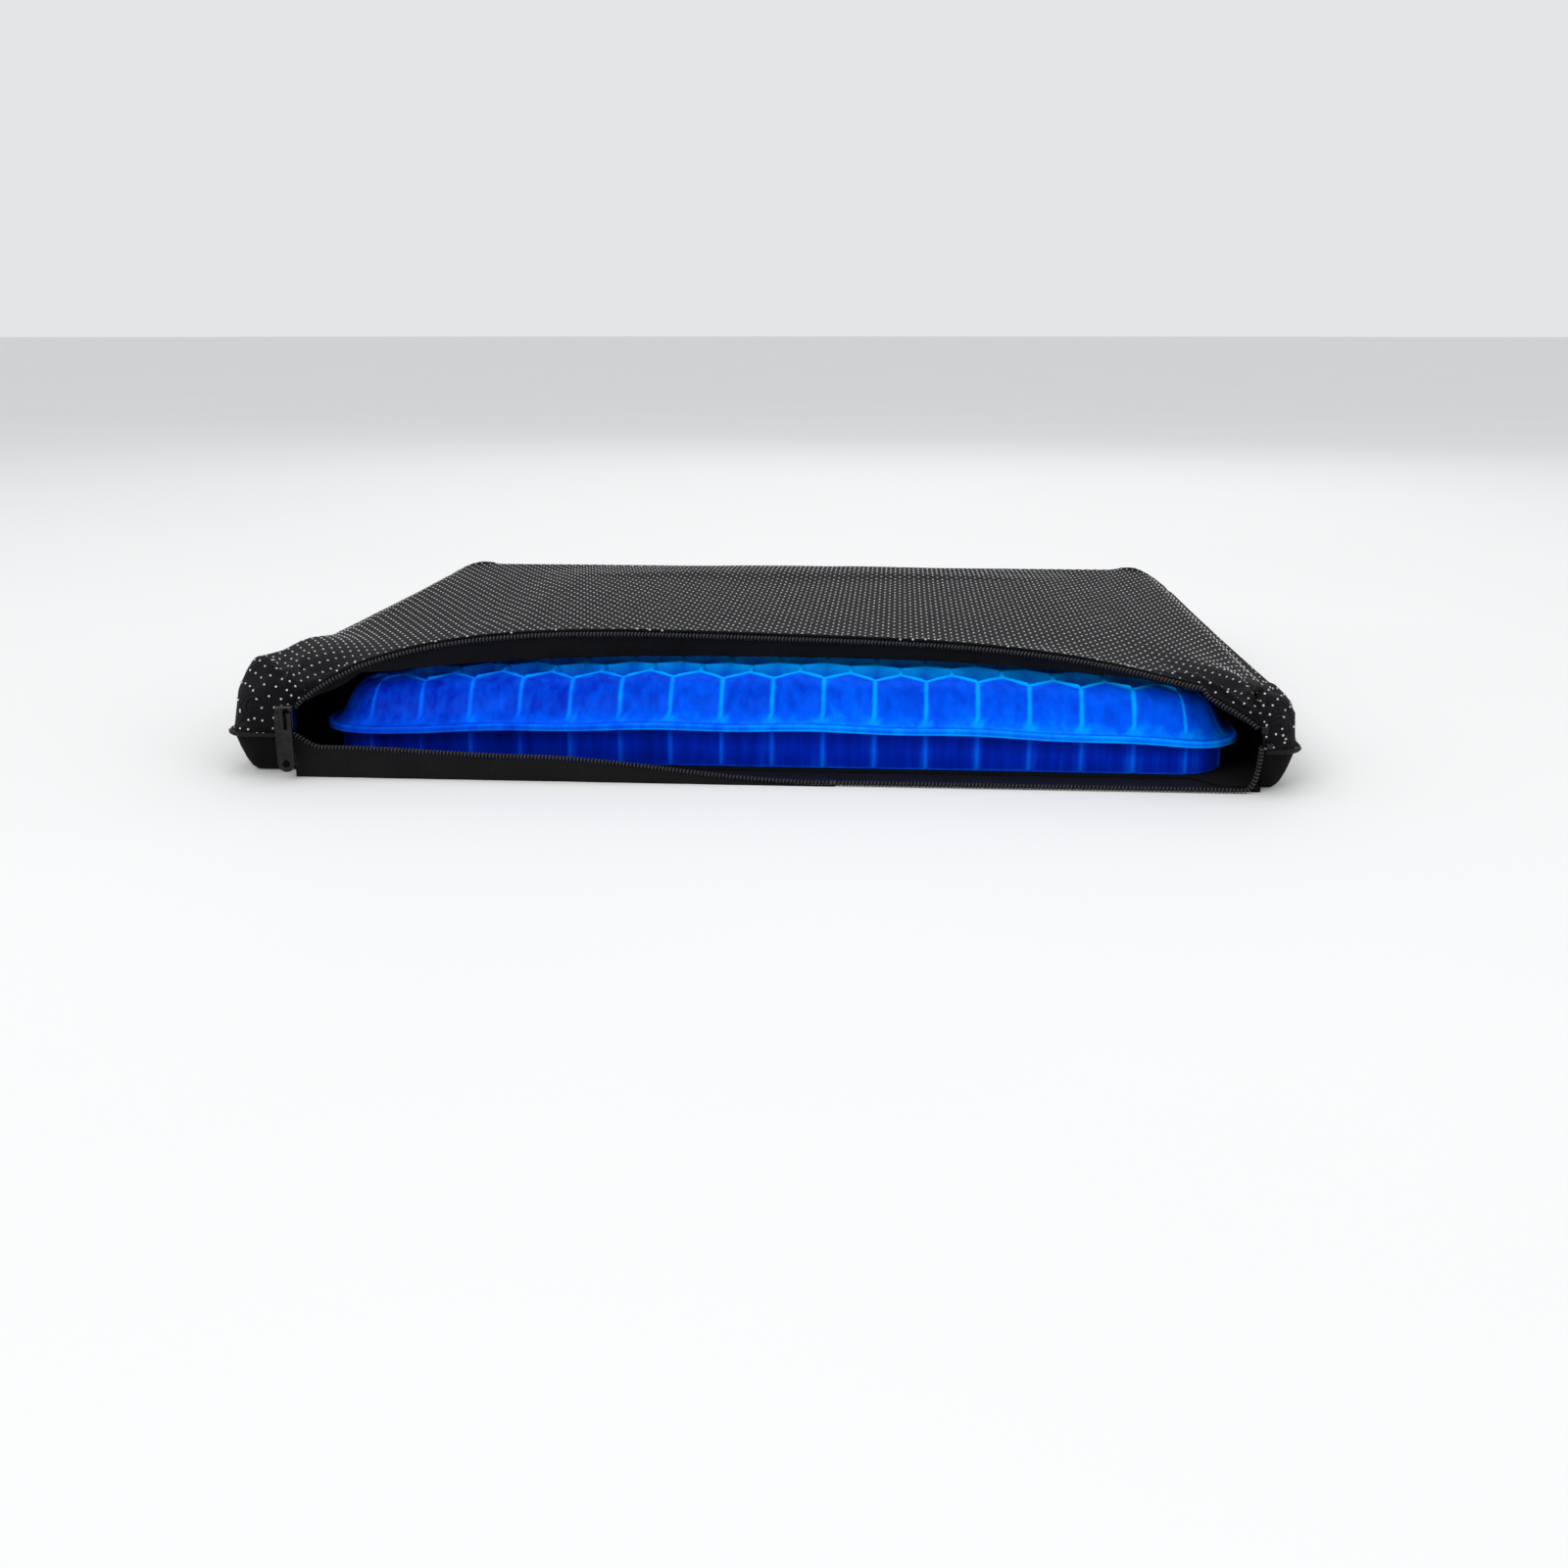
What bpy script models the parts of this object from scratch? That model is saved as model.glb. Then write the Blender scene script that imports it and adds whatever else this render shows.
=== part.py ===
"""Gel seat cushion: a honeycomb gel pad in a zipped fabric cover whose front zip is open.

Frame: origin under the middle of the cushion, +Z up, the open mouth faces -Y, +X to the right.
The cover is two panels sewn together at mid height. Its front edge is the zip, drawn open, with
the upper lip lifted over the gel and the slider parked at the left corner of the mouth.
"""

import math

import bmesh
import bpy
from mathutils import Vector

MM = 0.001

# Overall sizes of the cover
COVER_WIDTH = 434.0 * MM  # across the front, seam line to seam line
COVER_TAPER = 4.0 * MM  # the back is this much narrower
COVER_DEPTH = 360.0 * MM  # front seam line to back seam line
COVER_HEIGHT = 44.0 * MM  # top of the cover over the gel
SEAM_HEIGHT = 18.0 * MM  # the seam runs round at mid height
FRONT_CORNER_RADIUS = 9.0 * MM
BACK_CORNER_RADIUS = 32.0 * MM
EDGE_ROUNDING = 15.0 * MM  # how far in from the seam the top panel has risen fully
TRAY_ROUNDING = 9.0 * MM  # how far in from the seam the bottom panel lies flat
TOP_FABRIC = 1.2 * MM
BOTTOM_FABRIC = 2.6 * MM
SEAM_TUBE_RADIUS = 0.9 * MM
SEAM_ALLOWANCE = 2.0 * MM  # the bottom panel's rim lies this far under the top panel's rim

# The mouth, which is the opened zip
EAR_LEFT = 26.0 * MM  # from the left end of the cover's front to the mouth
EAR_RIGHT = 14.0 * MM
LIP_CORNER_RISE = 4.0 * MM  # the mouth's corners stand this far over the seam line
LIP_OVER_TOP = 7.5 * MM  # how far the middle of the upper lip is lifted over the cover's top
LIP_OVER_GEL = 3.6 * MM  # the least room between the upper lip and the pad
LIP_TILT = 0.17  # the lip stands this share higher towards the left
LIP_DRAW_BACK = 43.0 * MM  # how far the middle of the lip is drawn back
LIP_FOLD = 3.4 * MM  # fabric turned down over the coil
LOWER_LIP_SETBACK = 12.5 * MM  # the bottom panel stops this far behind the front seam line
TAPE_THICKNESS = 0.8 * MM
TAPE_UNDER_COIL = 1.1 * MM  # the upper tape starts this far under the middle of the coil
TAPE_SHOWN = 1.0 * MM  # the upper tape hangs at least this far under the lip
TAPE_END = 5.0 * MM  # the lower tape ends this far short of the coil's bends
COIL_RADIUS = 1.2 * MM
LOWER_COIL_CORNER = 5.0 * MM  # width of the bend that carries the lower coil up to the corner

# The gel pad
GEL_ROOM_LEFT = 6.0 * MM  # from the mouth's left corner to the flange
GEL_ROOM_RIGHT = 4.0 * MM
GEL_SETBACK = 7.5 * MM  # flange behind the front seam line
GEL_ROOM_BACK = 7.5 * MM  # flange to the back seam line
GEL_CORNER_RADIUS = 28.0 * MM
GEL_FLANGE_OUT = 6.0 * MM
GEL_FLANGE_THICKNESS = 3.0 * MM
GEL_FLANGE_DROP = 2.0 * MM  # middle of the flange under the seam line, at the left and right ends
GEL_EDGE_DROP = 11.0 * MM  # top of the front row of cells under the cover's top, at the ends
GEL_SHOULDER = 13.0 * MM  # how far the sloping outer cells lean in
GEL_ARCH = 5.0 * MM  # the middle of the pad stands this much higher than its ends

# Zip slider and pull tab
COIL_INSET = 1.5 * MM  # the lower coil turns up this far inside the mouth's corners
SLIDER_WIDTH = 7.5 * MM
SLIDER_THICKNESS = 4.3 * MM
SLIDER_LENGTH = 10.0 * MM
SLIDER_LIFT = 2.6 * MM  # its lower end over the seam line
BRIDGE_WIDTH = 1.6 * MM
BRIDGE_BAR = 1.0 * MM
BRIDGE_MARGIN = 1.0 * MM  # the bridge stops this far short of the slider's ends
BRIDGE_ROOM = 2.2 * MM  # room for the tab between the slider and the bridge bar
TAB_WIDTH = 7.0 * MM
TAB_LENGTH = 24.5 * MM
TAB_THICKNESS = 1.0 * MM
TAB_SLOT_WIDTH = 3.2 * MM
TAB_EYE_BAR = 1.2 * MM
TAB_EYE_ROOM = 0.5 * MM  # under the bridge's upper post
TAB_HOLE_RADIUS = 1.6 * MM
STOP_SIZE = 2.6 * MM
STOP_ROOM = 0.7 * MM  # the upper stop clears the coil's slanting end

GAP = 0.3 * MM  # between pieces that touch
SLIDE_CLEARANCE = 4.0 * MM  # between the gel and what it slides under

# Places worked out from the sizes. The frame's origin is in the middle of everything, so the
# slider's bridge in front and the seam behind both count.
COIL_STANDOFF = COIL_RADIUS + 0.5 * MM  # lower coil in front of the front seam line
SLIDER_REACH = COIL_RADIUS + GAP + SLIDER_THICKNESS + BRIDGE_ROOM + BRIDGE_BAR
SEAM_STANDOFF = SEAM_TUBE_RADIUS + 1.4 * GAP
FRONT_Y = -(COVER_DEPTH + SEAM_STANDOFF + SEAM_TUBE_RADIUS - COIL_STANDOFF - SLIDER_REACH) / 2.0
BACK_Y = FRONT_Y + COVER_DEPTH
HALF_FRONT = COVER_WIDTH / 2.0
HALF_BACK = (COVER_WIDTH - COVER_TAPER) / 2.0
MOUTH_LEFT = EAR_LEFT - HALF_FRONT
MOUTH_RIGHT = HALF_FRONT - EAR_RIGHT
MOUTH_MIDDLE = (MOUTH_LEFT + MOUTH_RIGHT) / 2.0
MOUTH_HALF = (MOUTH_RIGHT - MOUTH_LEFT) / 2.0
LIP_CORNER_HEIGHT = SEAM_HEIGHT + LIP_CORNER_RISE
LIP_RISE = COVER_HEIGHT - LIP_CORNER_HEIGHT + LIP_OVER_TOP
LOWER_COIL_RISE = SEAM_HEIGHT + 0.5 * MM
GEL_WIDTH = MOUTH_RIGHT - MOUTH_LEFT - GEL_ROOM_LEFT - GEL_ROOM_RIGHT
GEL_DEPTH = COVER_DEPTH - GEL_SETBACK - GEL_ROOM_BACK
GEL_SHIFT = MOUTH_MIDDLE + (GEL_ROOM_LEFT - GEL_ROOM_RIGHT) / 2.0
GEL_FLANGE_HEIGHT = SEAM_HEIGHT - GEL_FLANGE_DROP
GEL_EDGE_HEIGHT = COVER_HEIGHT - GEL_EDGE_DROP
GEL_FRONT_Y = FRONT_Y + GEL_SETBACK
GEL_MIDDLE_Y = GEL_FRONT_Y + GEL_DEPTH / 2.0
LOWER_COIL_Y = FRONT_Y - COIL_STANDOFF
SLIDER_X = MOUTH_LEFT + COIL_INSET
SLIDER_BACK_Y = LOWER_COIL_Y - COIL_RADIUS - GAP
SLIDER_FOOT = SEAM_HEIGHT + SLIDER_LIFT
BRIDGE_INSIDE = SLIDER_LENGTH - 2.0 * (BRIDGE_MARGIN + BRIDGE_BAR)
TAB_SLOT_LENGTH = BRIDGE_INSIDE - TAB_EYE_ROOM - TAB_EYE_BAR + BRIDGE_BAR + GAP

# Mesh fineness
MOUTH_COLUMNS = 26
EAR_COLUMNS = 4
PANEL_ROWS = 18
PATH_STEPS = 44
TUBE_SIDES = 8


def clear_scene():
    for old in list(bpy.data.objects):
        bpy.data.objects.remove(old, do_unlink=True)


def material(name, colour, roughness, metallic=0.0):
    made = bpy.data.materials.new(name)
    made.use_nodes = True
    shader = made.node_tree.nodes["Principled BSDF"]
    shader.inputs["Base Color"].default_value = (*colour, 1.0)
    shader.inputs["Roughness"].default_value = roughness
    shader.inputs["Metallic"].default_value = metallic
    return made


def add_object(name, vertices, faces, finish, origin=(0.0, 0.0, 0.0), smooth=True):
    """A mesh object whose origin lies at the given world point."""
    base = Vector(origin)
    mesh = bpy.data.meshes.new(name)
    mesh.from_pydata([Vector(v) - base for v in vertices], [], faces)
    mesh.validate()
    work = bmesh.new()
    work.from_mesh(mesh)
    bmesh.ops.recalc_face_normals(work, faces=work.faces)
    work.to_mesh(mesh)
    work.free()
    if smooth:
        mesh.shade_smooth()
        mesh.set_sharp_from_angle(angle=math.radians(40.0))
    made = bpy.data.objects.new(name, mesh)
    made.location = base
    made.data.materials.append(finish)
    bpy.context.scene.collection.objects.link(made)
    return made


# Shape of the cover


def rounded_in(distance, radius):
    """How far a corner of this radius has drawn its outline in at this distance from its end."""
    if distance >= radius:
        return 0.0
    return radius - math.sqrt(radius**2 - (radius - max(distance, 0.0)) ** 2)


def half_width(y):
    """Half the width of the cover's seam line at this depth."""
    share = (y - FRONT_Y) / COVER_DEPTH
    straight = HALF_FRONT + (HALF_BACK - HALF_FRONT) * share
    front = rounded_in(y - FRONT_Y, FRONT_CORNER_RADIUS)
    back = rounded_in(BACK_Y - y, BACK_CORNER_RADIUS)
    return straight - front - back


def mouth_share(x):
    """-1 at the left corner of the mouth, 1 at the right corner."""
    return (x - MOUTH_MIDDLE) / MOUTH_HALF


def lip_fullness(share):
    return max(1.0 - share**4, 0.0) ** 0.6


def lip_height(share):
    drawn = LIP_CORNER_HEIGHT + LIP_RISE * (1.0 - LIP_TILT * share) * lip_fullness(share)
    if lip_fullness(share) == 0.0:
        return drawn
    return max(drawn, gel_top_at(MOUTH_MIDDLE + MOUTH_HALF * share) + LIP_OVER_GEL)


def lip_y(share):
    return FRONT_Y + LIP_DRAW_BACK * (1.0 - abs(share) ** 3)


def panel_columns():
    """Column places: side zones outside the mouth as (side, share), mouth zone as mouth shares."""
    columns = [("left", 1.0 - i / EAR_COLUMNS) for i in range(EAR_COLUMNS)]
    for i in range(MOUTH_COLUMNS + 1):
        columns.append(("mouth", -math.cos(math.pi * i / MOUTH_COLUMNS)))
    columns += [("right", (i + 1) / EAR_COLUMNS) for i in range(EAR_COLUMNS)]
    return columns


def column_x(kind, share, y):
    """Where a column stands at this depth; columns draw in with the back corners."""
    narrowing = half_width(y) / half_width(0.0) if y > 0.0 else 1.0
    left = MOUTH_LEFT * narrowing
    right = MOUTH_RIGHT * narrowing
    if kind == "left":
        return left + (-half_width(y) - left) * share
    if kind == "right":
        return right + (half_width(y) - right) * share
    return (MOUTH_MIDDLE + MOUTH_HALF * share) * narrowing


def row_share(row):
    """Rows crowd towards the front and the back, where the panel bends most."""
    t = row / PANEL_ROWS
    return t - 0.8 * math.sin(2.0 * math.pi * t) / (2.0 * math.pi)


def edge_rise(distance):
    """0 at the seam, 1 where the top panel has risen fully."""
    left_over = 1.0 - min(max(distance, 0.0) / EDGE_ROUNDING, 1.0)
    return (1.0 - left_over**2.4) ** (1.0 / 2.4)


def tray_flatness(distance):
    """0 at the seam, 1 where the bottom panel lies flat."""
    left_over = 1.0 - min(max(distance, 0.0) / TRAY_ROUNDING, 1.0)
    return 1.0 - left_over**2


def top_point(kind, share, row):
    in_mouth = kind == "mouth" and abs(share) < 0.999
    start = lip_y(share) if in_mouth else FRONT_Y
    y = start + (BACK_Y - start) * row_share(row)
    x = column_x(kind, share, y)
    rise = (COVER_HEIGHT - SEAM_HEIGHT) * edge_rise(half_width(y) - abs(x)) * edge_rise(BACK_Y - y)
    if not in_mouth:
        return (x, y, SEAM_HEIGHT + rise * edge_rise(y - FRONT_Y))
    body = SEAM_HEIGHT + rise
    reach = (8.0 + 27.0 * (1.0 - share**2)) * MM
    fold = lip_height(share) + LIP_FOLD * lip_fullness(share)
    z = body + (fold - body) * math.exp(-(y - start) / reach)
    if row == 0:
        z = lip_height(share) + COIL_RADIUS
    return (x, y, z)


def bottom_point(kind, share, row):
    in_mouth = kind == "mouth" and abs(share) < 0.999
    start = FRONT_Y + LOWER_LIP_SETBACK if in_mouth else FRONT_Y
    y = start + (BACK_Y - start) * row_share(row)
    x = column_x(kind, share, y)
    flat = tray_flatness(half_width(y) - abs(x)) * tray_flatness(BACK_Y - y)
    if not in_mouth:
        flat *= tray_flatness(y - FRONT_Y)
    return (x, y, (SEAM_HEIGHT - SEAM_ALLOWANCE) * (1.0 - flat))


def sheet_panel(name, point_at, thickness, finish, faces_up):
    """A fabric panel: one grid of points, thickened inwards by a Solidify modifier."""
    columns = panel_columns()
    rows = PANEL_ROWS + 1
    vertices = [point_at(kind, share, row) for kind, share in columns for row in range(rows)]
    faces = []
    for c in range(len(columns) - 1):
        for r in range(rows - 1):
            a = c * rows + r
            quad = (a, a + rows, a + rows + 1, a + 1)
            faces.append(quad if faces_up else quad[::-1])
    mesh = bpy.data.meshes.new(name)
    mesh.from_pydata(vertices, [], faces)
    mesh.shade_smooth()
    made = bpy.data.objects.new(name, mesh)
    made.data.materials.append(finish)
    bpy.context.scene.collection.objects.link(made)
    wall = made.modifiers.new("fabric", "SOLIDIFY")
    wall.thickness = thickness
    wall.offset = -1.0
    wall.use_even_offset = False
    wall.use_rim = True
    return made


# Swept pieces


def sweep(name, sections, finish, origin=(0.0, 0.0, 0.0)):
    """A closed solid through equal rings of points, with flat ends."""
    sides = len(sections[0])
    vertices = [p for ring in sections for p in ring]
    faces = []
    for k in range(len(sections) - 1):
        for i in range(sides):
            j = (i + 1) % sides
            a = k * sides
            faces.append((a + i, a + j, a + sides + j, a + sides + i))
    faces.append(tuple(range(sides)))
    last = (len(sections) - 1) * sides
    faces.append(tuple(last + i for i in range(sides)))
    return add_object(name, vertices, faces, finish, origin)


def tube(name, path, radius, finish):
    """A round tube along a path of points."""
    sections = []
    for k, centre in enumerate(path):
        before = Vector(path[max(k - 1, 0)])
        after = Vector(path[min(k + 1, len(path) - 1)])
        along = (after - before).normalized()
        across = along.cross(Vector((0.0, 1.0, 0.2))).normalized()
        upward = across.cross(along)
        ring = []
        for i in range(TUBE_SIDES):
            turn = 2.0 * math.pi * i / TUBE_SIDES
            ring.append(Vector(centre) + radius * (math.cos(turn) * across + math.sin(turn) * upward))
        sections.append(ring)
    return sweep(name, sections, finish)


def upper_coil_path(reach=0.985):
    path = []
    for i in range(PATH_STEPS + 1):
        share = -reach * math.cos(math.pi * i / PATH_STEPS)
        x = MOUTH_MIDDLE + MOUTH_HALF * share
        path.append((x, lip_y(share) - COIL_RADIUS - 0.7 * MM, lip_height(share) - 0.5 * MM))
    return path


def lower_coil_path():
    """Up-bend at the left corner, a flat run, up-bend at the right corner."""
    floor = COIL_RADIUS + 0.1 * MM
    bend = 6
    path = []
    for i in range(bend + 1):
        turn = 0.5 * math.pi * (1.0 - i / bend)
        x = MOUTH_LEFT + COIL_INSET + LOWER_COIL_CORNER * (1.0 - math.sin(turn))
        path.append((x, LOWER_COIL_Y, floor + LOWER_COIL_RISE * (1.0 - math.cos(turn))))
    first = path[-1][0]
    last = MOUTH_RIGHT - COIL_INSET - LOWER_COIL_CORNER
    steps = 8
    for i in range(1, steps):
        path.append((first + (last - first) * i / steps, LOWER_COIL_Y, floor))
    for i in range(bend + 1):
        turn = 0.5 * math.pi * i / bend
        x = last + LOWER_COIL_CORNER * math.sin(turn)
        path.append((x, LOWER_COIL_Y, floor + LOWER_COIL_RISE * (1.0 - math.cos(turn))))
    return path


def seam_path():
    """Along the seam line from the left mouth corner round the back to the right one."""
    side = []
    front_steps = 5
    back_steps = 8
    for i in range(front_steps + 1):
        turn = 0.5 * math.pi * i / front_steps
        side.append(FRONT_Y + FRONT_CORNER_RADIUS * (1.0 - math.cos(turn)))
    straight_start = side[-1]
    straight_end = BACK_Y - BACK_CORNER_RADIUS
    for i in range(1, 6):
        side.append(straight_start + (straight_end - straight_start) * i / 6.0)
    for i in range(back_steps + 1):
        turn = 0.5 * math.pi * i / back_steps
        side.append(straight_end + BACK_CORNER_RADIUS * math.sin(turn))
    left = [(-half_width(y), y) for y in side]
    right = [(half_width(y), y) for y in side][::-1]
    outline = [(MOUTH_LEFT - 4.0 * MM, FRONT_Y)] + left + right + [(MOUTH_RIGHT + 0.5 * MM, FRONT_Y)]
    out = SEAM_STANDOFF
    path = []
    for k, (x, y) in enumerate(outline):
        x0, y0 = outline[max(k - 1, 0)]
        x1, y1 = outline[min(k + 1, len(outline) - 1)]
        run = math.hypot(x1 - x0, y1 - y0)
        path.append((x - out * (y1 - y0) / run, y + out * (x1 - x0) / run, SEAM_HEIGHT - SEAM_ALLOWANCE / 2.0))
    return path


# Gel pad


def gel_ring(inset, height_at):
    """A rounded-rectangle ring of points, inset from the flange's edge."""
    half_x = GEL_WIDTH / 2.0 - inset
    half_y = GEL_DEPTH / 2.0 - inset
    radius = max(GEL_CORNER_RADIUS - inset, 8.0 * MM)
    side_steps = 8
    corner_steps = 6
    ring = []
    corners = [(1, -1, -90.0), (1, 1, 0.0), (-1, 1, 90.0), (-1, -1, 180.0)]
    for sx, sy, first in corners:
        cx = sx * (half_x - radius)
        cy = sy * (half_y - radius)
        for i in range(corner_steps + 1):
            turn = math.radians(first + 90.0 * i / corner_steps)
            ring.append((cx + radius * math.cos(turn), cy + radius * math.sin(turn)))
    filled = []
    for k, point in enumerate(ring):
        after = ring[(k + 1) % len(ring)]
        filled.append(point)
        if math.dist(point, after) > 2.0 * radius:
            for i in range(1, side_steps):
                share = i / side_steps
                filled.append(tuple(p + (q - p) * share for p, q in zip(point, after)))
    return [(x + GEL_SHIFT, y + GEL_MIDDLE_Y, height_at(x)) for x, y in filled]


def arch(x):
    """How much higher the pad stands at this distance from its own middle."""
    return GEL_ARCH * (1.0 - (x / (GEL_WIDTH / 2.0)) ** 2)


def gel_top_at(x):
    """Highest point of the pad's cross section at this world x."""
    own = abs(x - GEL_SHIFT)
    inside = GEL_WIDTH / 2.0 - own
    slope = min(max((inside - GEL_FLANGE_OUT) / GEL_SHOULDER, 0.0), 1.0)
    flange_top = GEL_FLANGE_HEIGHT + GEL_FLANGE_THICKNESS / 2.0
    shoulder = flange_top + (GEL_EDGE_HEIGHT - flange_top) * slope
    crown = 1.5 * MM if slope == 1.0 else 0.0
    return shoulder + crown + arch(own)


def gel_insert(finish):
    foot = BOTTOM_FABRIC + GAP
    low = GEL_FLANGE_HEIGHT - GEL_FLANGE_THICKNESS / 2.0
    high = GEL_FLANGE_HEIGHT + GEL_FLANGE_THICKNESS / 2.0
    body = GEL_FLANGE_OUT
    top = GEL_FLANGE_OUT + GEL_SHOULDER
    halfway = (high + GEL_EDGE_HEIGHT) / 2.0 + 1.5 * MM
    rings = [
        gel_ring(body, lambda x: foot),
        gel_ring(body, lambda x: low + arch(x)),
        gel_ring(0.0, lambda x: low + arch(x)),
        gel_ring(0.0, lambda x: high + arch(x)),
        gel_ring(body, lambda x: high + arch(x)),
        gel_ring(body + 0.35 * GEL_SHOULDER, lambda x: halfway + arch(x)),
        gel_ring(top, lambda x: GEL_EDGE_HEIGHT + arch(x)),
        gel_ring(top + 40.0 * MM, lambda x: GEL_EDGE_HEIGHT + 1.5 * MM + arch(x)),
    ]
    return sweep("gel_insert", rings, finish, (GEL_SHIFT, GEL_MIDDLE_Y, foot))


# Zip


def tape_section(y, z, drop, lean):
    """A thin strip hanging from (y, z)."""
    half = TAPE_THICKNESS / 2.0
    return [(y - half, z), (y + half, z), (y + half + lean, z - drop), (y - half + lean, z - drop)]


def zip_tape_upper(finish):
    sections = []
    for x, _, z in upper_coil_path(0.955):
        share = mouth_share(x)
        hem = z - TAPE_UNDER_COIL
        drop = max(hem - gel_top_at(x) - SLIDE_CLEARANCE, TAPE_SHOWN)
        lean = 0.25 * drop
        sections.append([(x, a, b) for a, b in tape_section(lip_y(share), hem, drop, lean)])
    return sweep("zip_tape_upper", sections, finish)


def zip_tape_lower(finish):
    back = FRONT_Y + LOWER_LIP_SETBACK - GAP
    front = LOWER_COIL_Y + COIL_RADIUS + GAP
    low = COIL_RADIUS + 0.1 * MM - TAPE_THICKNESS / 2.0
    high = low + TAPE_THICKNESS
    first = MOUTH_LEFT + LOWER_COIL_CORNER + TAPE_END
    last = MOUTH_RIGHT - LOWER_COIL_CORNER - TAPE_END
    steps = 8
    sections = []
    for i in range(steps + 1):
        x = first + (last - first) * i / steps
        sections.append([(x, front, low), (x, back, low), (x, back, high), (x, front, high)])
    return sweep("zip_tape_lower", sections, finish)


def block(name, centre, size, finish, bevel=0.0):
    """A box, with its edges rounded where a bevel is given."""
    work = bmesh.new()
    bmesh.ops.create_cube(work, size=1.0)
    bmesh.ops.scale(work, vec=size, verts=work.verts)
    mesh = bpy.data.meshes.new(name)
    work.to_mesh(mesh)
    work.free()
    made = bpy.data.objects.new(name, mesh)
    made.location = centre
    if finish is not None:
        made.data.materials.append(finish)
    bpy.context.scene.collection.objects.link(made)
    if bevel > 0.0:
        rounding = made.modifiers.new("edges", "BEVEL")
        rounding.width = bevel
        rounding.segments = 2
        rounding.limit_method = "NONE"
    return made


def helper(made):
    """Marks a cutter or a piece that is joined into another."""
    made.hide_render = True
    made.display_type = "WIRE"
    return made


def boolean(target, other, operation):
    step = target.modifiers.new(other.name, "BOOLEAN")
    step.operation = operation
    step.solver = "EXACT"
    step.object = other


def slider_body(finish):
    """A bevelled body with a bridge in front, under which the tab's eye bar turns."""
    middle_z = SLIDER_FOOT + SLIDER_LENGTH / 2.0
    front = SLIDER_BACK_Y - SLIDER_THICKNESS
    size = (SLIDER_WIDTH, SLIDER_THICKNESS, SLIDER_LENGTH)
    centre = (SLIDER_X, SLIDER_BACK_Y - SLIDER_THICKNESS / 2.0, middle_z)
    made = block("zip_slider_body", centre, size, finish, bevel=0.8 * MM)
    root = front + SLIDER_THICKNESS / 4.0
    outer = front - BRIDGE_ROOM - BRIDGE_BAR
    inner = outer + BRIDGE_BAR
    low = SLIDER_FOOT + BRIDGE_MARGIN
    high = SLIDER_FOOT + SLIDER_LENGTH - BRIDGE_MARGIN
    outline = [(root, low), (outer, low), (outer, high), (root, high)]
    outline += [(root, high - BRIDGE_BAR), (inner, high - BRIDGE_BAR)]
    outline += [(inner, low + BRIDGE_BAR), (root, low + BRIDGE_BAR)]
    half = BRIDGE_WIDTH / 2.0
    rings = [[(SLIDER_X + x, y, z) for y, z in outline] for x in (-half, half)]
    bridge = helper(sweep("bridge", rings, finish))
    boolean(made, bridge, "UNION")
    return made


def tab_axis():
    """The line, along X, that the pull tab turns on."""
    y = SLIDER_BACK_Y - SLIDER_THICKNESS - BRIDGE_ROOM / 2.0
    z = SLIDER_FOOT + SLIDER_LENGTH - BRIDGE_MARGIN - BRIDGE_BAR - TAB_EYE_ROOM - TAB_EYE_BAR / 2.0
    return (SLIDER_X, y, z)


def pull_tab(finish):
    """A flat tab with a slot that goes round the bridge and a round hole near its tip."""
    axis = Vector(tab_axis())
    half = TAB_WIDTH / 2.0
    top = TAB_EYE_BAR / 2.0
    tip = top - TAB_LENGTH
    outline = [(-half, top), (-half, tip + half)]
    steps = 10
    for i in range(1, steps):
        turn = math.pi * i / steps
        outline.append((-half * math.cos(turn), tip + half - half * math.sin(turn)))
    outline += [(half, tip + half), (half, top)]
    depth = TAB_THICKNESS / 2.0
    rings = [[(x + axis.x, y + axis.y, z + axis.z) for x, z in outline] for y in (-depth, depth)]
    made = sweep("zip_pull_tab", rings, finish, axis)
    slot_z = axis.z - TAB_EYE_BAR / 2.0 - TAB_SLOT_LENGTH / 2.0
    slot_size = (TAB_SLOT_WIDTH, 4.0 * TAB_THICKNESS, TAB_SLOT_LENGTH)
    boolean(made, helper(block("tab_slot", (axis.x, axis.y, slot_z), slot_size, None)), "DIFFERENCE")
    work = bmesh.new()
    bmesh.ops.create_cone(
        work,
        cap_ends=True,
        segments=16,
        radius1=TAB_HOLE_RADIUS,
        radius2=TAB_HOLE_RADIUS,
        depth=4.0 * TAB_THICKNESS,
    )
    mesh = bpy.data.meshes.new("tab_hole")
    work.to_mesh(mesh)
    work.free()
    hole = bpy.data.objects.new("tab_hole", mesh)
    hole.location = (axis.x, axis.y, axis.z + tip + half)
    hole.rotation_euler = (math.radians(90.0), 0.0, 0.0)
    bpy.context.scene.collection.objects.link(hole)
    boolean(made, helper(hole), "DIFFERENCE")
    return made


def end_stops(finish):
    """Crimped stops at the ends of the coils."""
    upper = upper_coil_path()[-1]
    lower = lower_coil_path()[-1]
    size = (STOP_SIZE, 2.0 * COIL_RADIUS, STOP_SIZE)
    out = COIL_RADIUS + STOP_SIZE / 2.0 + GAP
    stop_y = FRONT_Y - COIL_RADIUS - 1.3 * GAP
    beyond = upper[0] + STOP_ROOM + STOP_SIZE / 2.0
    block("zip_stop_upper", (beyond, stop_y, upper[2]), size, finish, bevel=0.4 * MM)
    block("zip_stop_lower", (lower[0] + out, lower[1], lower[2]), size, finish, bevel=0.4 * MM)
    start = lower_coil_path()[0]
    block("zip_bottom_stop", (start[0] - out, start[1], start[2]), size, finish, bevel=0.4 * MM)


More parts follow.
